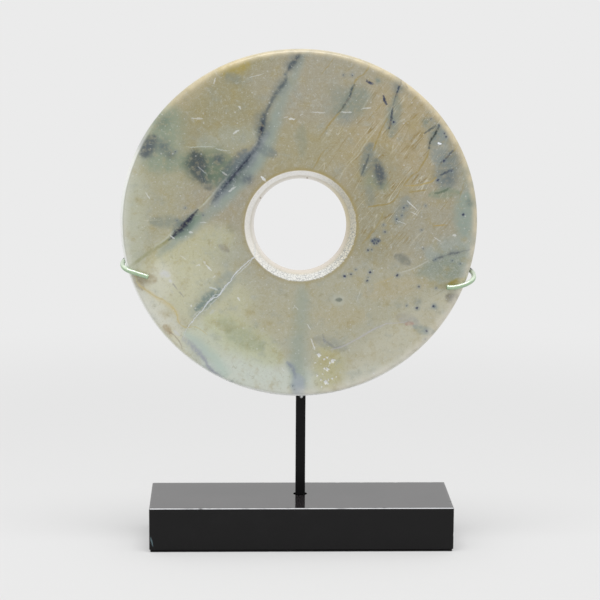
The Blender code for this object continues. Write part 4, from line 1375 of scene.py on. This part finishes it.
@dataclass
class Disc:
    """The stone ring, its hole narrowing from both faces to a ridge.

    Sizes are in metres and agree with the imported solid. A nick is an angle and a width in degrees and a
    depth.
    """

    hole_shift: tuple[float, float] = (0.0002, -0.0008)
    rim_lobe: float = 0.00033
    rim_lean: float = 0.0003
    left_swell: float = 0.0006
    rim_round: float = 0.003
    hole_radius: float = 0.0299
    front_flare: float = 0.00575
    back_flare: float = 0.0026
    ridge_above_back: float = 0.004
    ridge_round: float = 0.0012
    frost_inner: float = 0.0316
    deepest_bite: float = 0.001
    facet_depth: float = 0.00042
    grit_depth: float = 0.00010
    bruise_depth: float = 0.00035
    waviness: float = 0.00009
    around: int = 520
    nicks: tuple[tuple[float, float, float], ...] = (
        (34.0, 0.9, 0.0006), (61.0, 0.5, 0.0003), (-48.0, 0.7, 0.0003), (128.0, 0.6, 0.0003),
        (-118.0, 0.8, 0.0004), (205.0, 0.6, 0.0003))

    def __post_init__(self) -> None:
        """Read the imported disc's place and work out what follows from it."""
        self.low, self.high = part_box("jade_disc")
        width = self.high.x - self.low.x
        height = self.high.z - self.low.z
        self.mean_radius = (width + height) / 4
        self.oval = (width - height) / 4
        self.rim_x = (self.low.x + self.high.x) / 2
        self.rim_z = (self.low.z + self.high.z) / 2 + self.rim_lobe
        self.centre = Vector((self.rim_x + self.hole_shift[0], self.low.y, self.rim_z + self.hole_shift[1]))
        self.front_radius = self.hole_radius + self.front_flare
        self.back_radius = self.hole_radius + self.back_flare
        self.thickness = self.high.y - self.low.y

    def rim_radius(self, angle: float) -> float:
        """Give the rim's distance from its own centre, at an angle from +X towards +Z."""
        return self.mean_radius + self.oval * math.cos(2 * angle) + self.rim_lobe * math.sin(3 * angle)

    def _section(self) -> list[tuple[float, float]]:
        """Walk round the ring's section as (radius, depth behind the front face).

        Returns:
            The section's points, from the hole's front edge outwards and round.
        """
        points: list[tuple[float, float]] = []

        def run(start: tuple[float, float], end: tuple[float, float], steps: int) -> None:
            """Add evenly spaced points from start up to, but not at, end."""
            for step in range(steps):
                share = step / steps
                points.append((start[0] + (end[0] - start[0]) * share,
                               start[1] + (end[1] - start[1]) * share))

        def turn(centre: tuple[float, float], radius: float, first: float, last: float, steps: int) -> None:
            """Add points along an arc, in degrees from outwards towards the back, without its end."""
            for step in range(steps):
                angle = math.radians(first + (last - first) * step / steps)
                points.append((centre[0] + radius * math.cos(angle), centre[1] + radius * math.sin(angle)))

        corner = self.mean_radius - self.rim_round
        deep = self.thickness
        ridge_depth = deep - self.ridge_above_back
        edge_zone = self.front_radius + 0.0036
        run((self.front_radius, 0.0), (edge_zone, 0.0), 9)
        run((edge_zone, 0.0), (corner, 0.0), 34)
        turn((corner, self.rim_round), self.rim_round, -90, 0, 9)
        run((self.mean_radius, self.rim_round), (self.mean_radius, deep - self.rim_round), 5)
        turn((corner, deep - self.rim_round), self.rim_round, 0, 90, 9)
        run((corner, deep), (self.back_radius, deep), 26)
        ridge = (self.hole_radius + self.ridge_round, ridge_depth)

        def on_ridge(degrees: float) -> tuple[float, float]:
            """Give the point of the ridge's rounding at an angle."""
            angle = math.radians(degrees)
            return (ridge[0] + self.ridge_round * math.cos(angle),
                    ridge[1] + self.ridge_round * math.sin(angle))

        first, last = 145, 215
        run((self.back_radius, deep), on_ridge(first), 8)
        turn(ridge, self.ridge_round, first, last, 6)
        run(on_ridge(last), (self.front_radius, 0.0), 20)
        return points

    def _out_of_round(self, point: Vector) -> tuple[Vector, float, float]:
        """Bring a turned point to the rim's own outline, keeping the hole round.

        Returns:
            The moved point, its distance from the hole's middle before, and its angle.
        """
        across = point.x - self.centre.x
        up = point.z - self.centre.z
        reach = math.hypot(across, up)
        share = (reach - self.front_radius) / (self.mean_radius - self.front_radius)
        share = min(max(share, 0.0), 1.0)
        angle = math.atan2(up, across)
        stretch = 1 + share * (self.rim_radius(angle) / self.mean_radius - 1)
        swell = self.left_swell * max(-math.cos(angle + math.radians(5)), 0.0) ** 10
        shift = share * (self.hole_shift[0] + self.rim_lean + swell)
        moved = Vector((self.centre.x + across * stretch - shift, point.y,
                        self.centre.z + up * stretch - share * self.hole_shift[1]))
        return moved, reach, angle

    def _roughen(self, point: Vector, reach: float, angle: float) -> tuple[Vector, float, float]:
        """Break the hole's frosted band and its front edge.

        Returns:
            The moved point, and how frosted and how lip-like the surface is there.
        """
        depth = point.y - self.low.y
        coarse = 0.35 + 0.65 * ease(math.cos(angle + math.radians(55)), -0.5, 0.6)
        ring = Vector((math.cos(angle) * 26, math.sin(angle) * 26, 4.0))
        bite = max(noise.noise(ring) + 0.55 * noise.noise(ring * 3.1), 0.0) * self.deepest_bite * coarse
        bite *= ease(math.cos(angle + math.radians(40)), -0.2, 0.7)
        edge = self.front_radius + bite
        on_front = depth < 0.0001 and reach > self.front_radius - 1e-6
        in_bore = reach < self.front_radius and depth < self.thickness - self.ridge_above_back + 0.001
        if on_front:
            broken = 1 - ease(reach, edge - 0.0001, edge + 0.0006)
            rough = noise.noise(point * 1500) * 0.00012
            point.y += broken * bite * 0.45 + broken * rough
            return point, broken, 0.0
        if in_bore:
            frost = ease(reach, self.frost_inner - 0.0008, self.frost_inner + 0.0014)
            lip = 1 - frost
            facets = noise.voronoi(point * 820)[0][0] - 0.45
            grit = noise.noise(point * 2600)
            push = frost * coarse * (facets * self.facet_depth + grit * self.grit_depth)
            outward = Vector((math.cos(angle), 0.0, math.sin(angle)))
            point += (outward * 0.83 + Vector((0.0, 0.56, 0.0))) * push
            return point, frost, lip
        if reach < self.back_radius and depth < self.thickness + 1e-6:
            return point, 0.25, 0.75 * (1 - ease(reach, self.back_radius - 0.0006, self.back_radius))
        return point, 0.0, 0.0

    def _wear(self, point: Vector, angle: float, reach: float) -> Vector:
        """Give the faces a hand-ground unevenness and the rim a few small nicks."""
        wave = noise.noise(Vector((point.x, 0.0, point.z)) * 38 + Vector((3.0, 0.0, 1.0)))
        if reach > self.front_radius + 0.004 and abs(point.y - self.low.y) < 0.002:
            point.y += wave * self.waviness
        if reach <= self.mean_radius - self.rim_round:
            return point
        for nick_angle, width, deepest in self.nicks:
            away = abs((math.degrees(angle) - nick_angle + 180) % 360 - 180) / width
            front_corner = 1 - ease(point.y - self.low.y, 0.0006, 0.0032)
            if away < 1:
                shrink = 1 - (1 - away * away) * deepest * front_corner / self.mean_radius
                point.x = self.centre.x + (point.x - self.centre.x) * shrink
                point.z = self.centre.z + (point.z - self.centre.z) * shrink
        return point

    def _pit(self, obj: bpy.types.Object) -> None:
        """Sink the bruises by the lower rim into the front face."""
        spots = [(self.centre.x + x * MM, self.centre.z + z * MM, radius * MM)
                 for radius, places in BRUISES.items() for x, z in places]

        def near_bruise(middle: Vector, normal: Vector) -> bool:
            """Tell whether a front face lies at a bruise."""
            return normal.y < -0.9 and any(
                math.hypot(middle.x - x, middle.z - z) < radius + 0.0016 for x, z, radius in spots)

        pick_faces(obj, near_bruise)
        bpy.ops.mesh.subdivide(number_cuts=3)
        done()

        def sink(place: Vector, normal: Vector) -> Vector:
            """Lower a vertex of the front face that lies in a bruise."""
            if place.y > self.low.y + 0.0005:
                return place
            for x, z, radius in spots:
                away = math.hypot(place.x - x, place.z - z)
                if away < 1.6 * radius:
                    ragged = radius * (1 + 0.5 * noise.noise(place * 1400))
                    place.y += self.bruise_depth * ease(ragged - away, 0.0, 0.0006)
            return place

        reshape(obj, sink)

    def build(self) -> bpy.types.Object:
        """Turn the ring's section about the hole, then shape and wear it.

        Returns:
            The finished stone.
        """
        section = self._section()
        obj = start("disc_stone", Primitive.CIRCLE, vertices=len(section), radius=self.rim_round)
        for vertex, (radius, depth) in zip(obj.data.vertices, section):
            vertex.co = (radius, depth, 0.0)
        edit(obj)
        bpy.ops.mesh.select_all(action='SELECT')
        bpy.ops.mesh.spin(steps=self.around // 4, angle=math.pi / 2, center=(0, 0, 0), axis=(0, 1, 0))
        done()
        apply_modifier(obj, 'MIRROR', {"use_axis": (True, False, True), "merge_threshold": 1e-5})
        edit(obj)
        bpy.ops.mesh.select_all(action='SELECT')
        bpy.ops.transform.translate(value=self.centre)
        done()
        tidy_shell(obj)
        frosts, lips = [], []

        def shape(place: Vector, normal: Vector) -> Vector:
            """Move one vertex, and note how frosted and how lip-like it is."""
            point, reach, angle = self._out_of_round(place)
            point, frost, lip = self._roughen(point, reach, angle)
            frosts.append(frost)
            lips.append(lip)
            return self._wear(point, angle, reach)

        reshape(obj, shape)
        hold_number(obj, "frost", frosts)
        hold_number(obj, "lip", lips)
        self._pit(obj)
        smooth(obj, 42)
        return obj

    def dress(self, obj: bpy.types.Object) -> None:
        """Give the stone its finish and seat it."""
        finish = JadeFinish(
            centre=self.centre,
            rim_centre=(-self.hole_shift[0] / MM, -self.hole_shift[1] / MM),
            rim_radii=((self.mean_radius + self.oval) / MM, (self.mean_radius - self.oval) / MM),
            bore_radius=self.front_radius / MM,
        )
        seat(obj, finish.make(), "jade", "jade_disc")


class Side(Enum):
    """Which side of the disc an arm holds, as the sign of its X."""

    LEFT = -1
    RIGHT = 1


@dataclass
class WireArm:
    """A bent round wire from its cut tip on the front face, round the rim, back to the rod.

    Lengths are in metres. A drop runs along the rim downwards, a rise upwards.
    """

    side: Side
    below_level: float
    stand_off: float
    front_drop: float
    back_rise: float
    tip_drop: float
    leg_curl: float
    disc: Disc
    radius: float = 0.0015
    leg_length: float = 0.0085
    squareness: float = 2.3
    root_handle: float = 0.016
    rim_handle: float = 0.014
    root_below_top: float = 0.006
    gap: float = 0.0003
    tip_inset: float = 0.00022
    tip_crown: float = 0.00018
    fillet_size: float = 1.45

    LEG_POINTS = 8
    BEND_POINTS = 40
    RUN_POINTS = 40
    SIDES = 20

    @property
    def name(self) -> str:
        """The word for the arm's side."""
        return self.side.name.lower()

    def _path(self) -> list[Vector]:
        """Work out the wire's centreline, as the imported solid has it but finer.

        Returns:
            Points from the tip to the rod.
        """
        disc = self.disc
        sign = self.side.value
        level = math.radians(-self.below_level if sign > 0 else 180 + self.below_level)
        reach = disc.rim_radius(level)
        outward = Vector((math.cos(level), math.sin(level)))
        rim = Vector((disc.rim_x, disc.rim_z)) + outward * reach
        downward = Vector((sign * math.sin(level), -sign * math.cos(level)))
        half_depth = disc.thickness / 2 + self.gap + self.radius
        middle = (disc.low.y + disc.high.y) / 2

        def place(away: float, drop: float, depth: float) -> Vector:
            """Find a point by its distance past the rim, its drop and its depth."""
            flat = rim + outward * away + downward * drop
            return Vector((flat.x, middle + depth, flat.y))

        points = []
        for step in range(self.LEG_POINTS):
            share = 1 - step / self.LEG_POINTS
            curled = (1 + self.leg_curl) * share - self.leg_curl * share * share
            drop = self.front_drop + (self.tip_drop - self.front_drop) * curled
            points.append(place(-disc.rim_round - self.leg_length * share, drop, -half_depth))
        half_reach = disc.rim_round + self.radius + self.stand_off
        power = 2 / self.squareness
        for step in range(self.BEND_POINTS + 1):
            turn = 1 - 2 * step / self.BEND_POINTS
            angle = turn * math.pi / 2
            away = half_reach * max(math.cos(angle), 0.0) ** power - disc.rim_round
            depth = -math.copysign(half_depth * abs(math.sin(angle)) ** power, turn)
            even = (self.front_drop + self.back_rise) / 2
            extra = (self.front_drop - self.back_rise) / 2
            points.append(place(away, even * turn + extra * turn * turn, depth))
        rod_low, rod_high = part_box("upright_rod")
        bend_end = points[-1]
        inward = place(-disc.rim_round - self.rim_handle, -self.back_rise, half_depth)
        half_rod = (rod_high.x - rod_low.x) / 2
        root = Vector((sign * (half_rod + self.gap), (rod_low.y + rod_high.y) / 2,
                       rod_high.z - self.root_below_top))
        root_handle = root + Vector((sign * self.root_handle, 0, 0))
        for step in range(1, self.RUN_POINTS + 1):
            t = step / self.RUN_POINTS
            u = 1 - t
            points.append(bend_end * u ** 3 + inward * 3 * u * u * t
                          + root_handle * 3 * u * t * t + root * t ** 3)
        return points

    def build(self) -> bpy.types.Object:
        """Sweep the wire along its path, cut its tip cleanly and make its paint a little uneven.

        Returns:
            The finished wire.
        """
        path = self._path()
        deselect_everything()
        bpy.ops.curve.primitive_nurbs_path_add(radius=1.0, location=(0, 0, 0))
        obj = bpy.context.active_object
        obj.name = f"{self.name}_wire"
        obj.data.splines.clear()
        spline = obj.data.splines.new('POLY')
        spline.points.add(len(path) - 1)
        for point, spot in zip(spline.points, path):
            point.co = (*spot, 1.0)
        obj.data.bevel_depth = self.radius
        obj.data.bevel_resolution = self.SIDES // 2 - 2
        obj.data.use_fill_caps = True
        choose(obj)
        bpy.ops.object.convert(target='MESH')
        tidy_shell(obj)
        tip = path[0]
        tip_ahead = (path[0] - path[1]).normalized()

        def is_cut_end(middle: Vector, normal: Vector) -> bool:
            """Tell whether a face is the wire's cut end at the tip."""
            return (middle - tip).length < self.radius and normal.dot(tip_ahead) > 0.9

        pick_faces(obj, is_cut_end)
        bpy.ops.mesh.inset(thickness=self.tip_inset)
        bpy.ops.transform.translate(value=tip_ahead * self.tip_crown)
        done()

        def thicken(place: Vector, normal: Vector) -> Vector:
            """Let the paint lie a little unevenly."""
            return place + normal * (noise.noise(place * 260) * 0.00005 + noise.noise(place * 900) * 0.00002)

        reshape(obj, thicken)
        # How much each vertex faces upwards, for the highlight painted on the wire's upper side.
        hold_number(obj, "upper", [ease(vertex.normal.z, 0.3, 0.6) for vertex in obj.data.vertices])
        smooth(obj, 50)
        return obj

    def build_braze(self) -> bpy.types.Object:
        """Melt a small fillet of metal where the wire meets the rod.

        Returns:
            The finished fillet.
        """
        root = self._path()[-1]
        sign = self.side.value
        obj = start(f"{self.name}_braze", Primitive.SPHERE, segments=28, ring_count=16,
                    radius=self.radius * self.fillet_size, location=root, scale=(0.62, 1.0, 1.12))

        def taper(place: Vector, normal: Vector) -> Vector:
            """Draw the fillet in along the wire and let it set unevenly."""
            pull = 1 - 0.28 * ease((place.x - root.x) * sign, 0.0, self.radius)
            place.y = root.y + (place.y - root.y) * pull
            place.z = root.z + (place.z - root.z) * pull
            return place + normal * noise.noise(place * 800) * 0.00016

        reshape(obj, taper)
        smooth(obj, 60)
        return obj

    def dress(self, wire: bpy.types.Object, braze: bpy.types.Object, paint: bpy.types.Material,
              steel: bpy.types.Material) -> None:
        """Give the wire and its fillet their finishes and seat them."""
        seat(wire, paint, "wire_paint", f"{self.name}_arm")
        seat(braze, steel, "rod_steel")


@dataclass
class Plinth:
    """The polished block, its felt and the socket for the rod."""

    chamfer: float = 0.0006
    socket_depth: float = 0.020
    socket_clearance: float = 0.0003
    felt_bulge: float = 0.00035
    felt_fray: float = 0.00018

    BLOCK_CUTS = (150, 40, 16)
    FELT_CUTS = (260, 80, 3)

    def build_block(self) -> bpy.types.Object:
        """Cut the block with its crisp worn chamfers and the rod's socket.

        Returns:
            The finished block.
        """
        low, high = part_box("plinth")
        rod_low, rod_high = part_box("upright_rod")
        obj = block("plinth_block", low, high)
        for axis, cuts in enumerate(self.BLOCK_CUTS):
            cut_along(obj, axis, cuts)
        apply_modifier(obj, 'BEVEL', {"width": self.chamfer, "segments": 2, "limit_method": 'ANGLE'})

        def wear(place: Vector, normal: Vector) -> Vector:
            """Take small nicks out of the edges."""
            sides = [min(place[axis] - low[axis], high[axis] - place[axis]) for axis in range(3)]
            if sorted(sides)[1] > self.chamfer * 1.01:
                return place
            nick = max(noise.noise(place * 420) - 0.38, 0.0) * 0.0005 + 0.00002 * noise.noise(place * 90)
            return place - normal * nick

        reshape(obj, wear)
        socket_radius = ((rod_high.x - rod_low.x) * math.sqrt(2) + self.socket_clearance) / 2
        middle = Vector((0.0, (rod_low.y + rod_high.y) / 2, high.z))
        cutter = start("socket_cutter", Primitive.CYLINDER, vertices=64, radius=socket_radius,
                       depth=self.socket_depth * 2, location=middle)
        apply_modifier(obj, 'BOOLEAN', {"operation": 'DIFFERENCE', "object": cutter})
        bpy.data.objects.remove(cutter, do_unlink=True)
        smooth(obj, 30)
        return obj

    def build_felt(self) -> bpy.types.Object:
        """Cut the felt, with a soft slightly ragged edge.

        Returns:
            The finished felt.
        """
        low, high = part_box("felt_pad")
        obj = block("felt_sheet", low, high)
        for axis, cuts in enumerate(self.FELT_CUTS):
            cut_along(obj, axis, cuts)
        middle = (low + high) / 2
        half = (high - low) / 2

        def swell(place: Vector, normal: Vector) -> Vector:
            """Let the cut edge bulge and fray a little."""
            outward = Vector((0.0, 0.0, 0.0))
            for axis in (0, 1):
                if half[axis] - abs(place[axis] - middle[axis]) < 1e-5:
                    outward[axis] = math.copysign(1.0, place[axis])
            level = (place.z - middle.z) / half.z
            bulge = self.felt_bulge * (1 - level * level) + self.felt_fray * noise.noise(place * 700)
            return place + outward.normalized() * bulge

        reshape(obj, swell)
        smooth(obj, 60)
        return obj

    def dress(self, stone: bpy.types.Object, felt: bpy.types.Object) -> None:
        """Give the block and the felt their finishes and seat them."""
        low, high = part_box("plinth")
        finish = BlackStoneFinish(top=high.z / MM, front=low.y / MM, chamfer=self.chamfer / MM)
        seat(stone, finish.make(), "black_stone", "plinth")
        seat(felt, FeltFinish().make(), "felt", "felt_pad")


@dataclass
class Rod:
    """The square bar and the clear strip between it and the stone."""

    corner: float = 0.0004
    strip_round: float = 0.0002

    def build_bar(self) -> bpy.types.Object:
        """Draw the bar, with rounded corners and a filed top.

        Returns:
            The finished bar.
        """
        low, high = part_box("upright_rod")
        obj = block("steel_bar", low, high)
        cut_along(obj, 2, 60)
        apply_modifier(obj, 'BEVEL', {"width": self.corner, "segments": 4, "limit_method": 'ANGLE'})

        def file_off(place: Vector, normal: Vector) -> Vector:
            """Leave the sides not quite flat and the top with file marks."""
            moved = place + normal * noise.noise(place * 140) * 0.00003
            if place.z > high.z - 0.0001:
                moved.z += 0.00006 * noise.noise(Vector((place.x * 2600, place.y * 300, 0.0)))
            return moved

        reshape(obj, file_off)
        smooth(obj, 35)
        return obj

    def build_strip(self) -> bpy.types.Object:
        """Cut the clear strip with round ends and soft edges.

        Returns:
            The finished strip.
        """
        low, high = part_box("rim_pad")
        size = high - low
        radius = size.x / 2
        obj = start("clear_strip", Primitive.CYLINDER, vertices=32, radius=radius, depth=size.y,
                    location=(low + high) / 2, rotation=(math.radians(90), 0.0, 0.0))
        middle = (low.z + high.z) / 2
        stretch = size.z / 2 - radius
        for vertex in obj.data.vertices:
            vertex.co.z += math.copysign(stretch, vertex.co.z - middle)
        apply_modifier(obj, 'BEVEL', {"width": self.strip_round, "segments": 3, "limit_method": 'ANGLE'})
        smooth(obj, 50)
        return obj

    def dress(self, bar: bpy.types.Object, strip: bpy.types.Object, steel: bpy.types.Material) -> None:
        """Give the bar and the strip their finishes and seat them."""
        seat(bar, steel, "rod_steel", "upright_rod")
        seat(strip, ClearFinish().make(), "clear_pad", "rim_pad")


@dataclass
class Studio:
    """A pale floor, an even pale surround, an overhead soft box and the camera.

    Places are in metres and the camera's angles in radians. The floor is matt near the object and turns
    into the surround's own even glow within the matt reach, in millimetres.
    """

    surround: Colour = (235, 235, 235)
    floor_radius: float = 3.0
    floor_matt: float = 0.42
    matt_reach: tuple[float, float] = (300.0, 800.0)
    box_place: tuple[float, float, float] = (0.0, -0.22, 1.25)
    box_size: tuple[float, float] = (0.8, 0.3)
    box_aim: tuple[float, float, float] = (0.0, -0.02, 0.05)
    box_power: float = 7.5
    box_share: float = 0.42
    camera_place: tuple[float, float, float] = (-0.04676, -1.41474, 0.40648)
    camera_turn: float = 0.03237
    camera_tilt: float = 0.17199
    camera_roll: float = 0.00597
    camera_lens: float = 132.0

    def build_floor(self) -> bpy.types.Object:
        """Lay the floor.

        Returns:
            The floor.
        """
        obj = start("studio_floor", Primitive.CIRCLE, vertices=96, radius=self.floor_radius,
                    fill_type='NGON', location=(0, 0, 0))
        graph = Material("studio_floor")
        near = graph.measure('LENGTH', graph.here).fade(*self.matt_reach, 1.0, 0.0)
        matt = self.floor_matt
        full = linear(self.surround[0])
        glow = full - matt * (full + self.box_share)
        black = (0.0, 0.0, 0.0, 1.0)
        obj.data.materials.append(graph.finish({
            "Base Color": graph.mix(black, (matt, matt, matt, 1.0), near),
            "Roughness": 1.0,
            "Specular IOR Level": 0.0,
            "Emission Color": graph.mix((full, full, full, 1.0), (glow, glow, glow, 1.0), near),
            "Emission Strength": 1.0,
        }))
        return obj

    def light(self) -> None:
        """Set the surround and hang the soft box."""
        world = bpy.context.scene.world or bpy.data.worlds.new("studio")
        bpy.context.scene.world = world
        world.use_nodes = True
        graph = Graph(world.node_tree)
        background = graph.value("Background", 'ShaderNodeBackground', None,
                                 {"Color": tone(self.surround), "Strength": 1.0})
        graph.node('ShaderNodeOutputWorld', None, {"Surface": background})
        lamp = bpy.data.lights.new("overhead", 'AREA')
        lamp.shape = 'RECTANGLE'
        lamp.size, lamp.size_y = self.box_size
        lamp.energy = self.box_power
        holder = bpy.data.objects.new("overhead", lamp)
        bpy.context.scene.collection.objects.link(holder)
        holder.location = self.box_place
        downward = Vector(self.box_aim) - Vector(self.box_place)
        holder.rotation_euler = downward.to_track_quat('-Z', 'Y').to_euler()

    def place_camera(self) -> None:
        """Set the camera at the photograph's viewing angle."""
        lens = bpy.data.cameras.new("camera")
        lens.lens = self.camera_lens
        lens.sensor_width = 36.0
        lens.clip_start = 0.05
        lens.clip_end = 40.0
        camera = bpy.data.objects.new("camera", lens)
        bpy.context.scene.collection.objects.link(camera)
        turned = (Matrix.Rotation(-self.camera_turn, 4, 'Z')
                  @ Matrix.Rotation(math.pi / 2 - self.camera_tilt, 4, 'X')
                  @ Matrix.Rotation(self.camera_roll, 4, 'Z'))
        camera.matrix_world = Matrix.Translation(self.camera_place) @ turned
        bpy.context.scene.camera = camera
        bpy.context.scene.view_settings.view_transform = 'Standard'


def main() -> None:
    """Build, dress and light everything in order."""
    logging.basicConfig(level=logging.INFO, format="%(message)s")
    studio = Studio()
    studio.place_camera()
    studio.build_floor()
    studio.light()

    steel = SteelFinish().make()
    disc = Disc()
    disc.dress(disc.build())

    paint = PaintFinish(front=-3.0, back=-0.4).make()
    arms = (
        WireArm(Side.LEFT, below_level=13.2, stand_off=0.0016, front_drop=0.0053, back_rise=0.0029,
                tip_drop=0.0105, leg_curl=0.0, disc=disc),
        WireArm(Side.RIGHT, below_level=16.9, stand_off=0.0027, front_drop=0.0073, back_rise=0.0032,
                tip_drop=0.0108, leg_curl=0.7, disc=disc),
    )
    for arm in arms:
        arm.dress(arm.build(), arm.build_braze(), paint, steel)

    rod = Rod()
    rod.dress(rod.build_bar(), rod.build_strip(), steel)
    plinth = Plinth()
    plinth.dress(plinth.build_block(), plinth.build_felt())


if __name__ == "__main__":
    main()
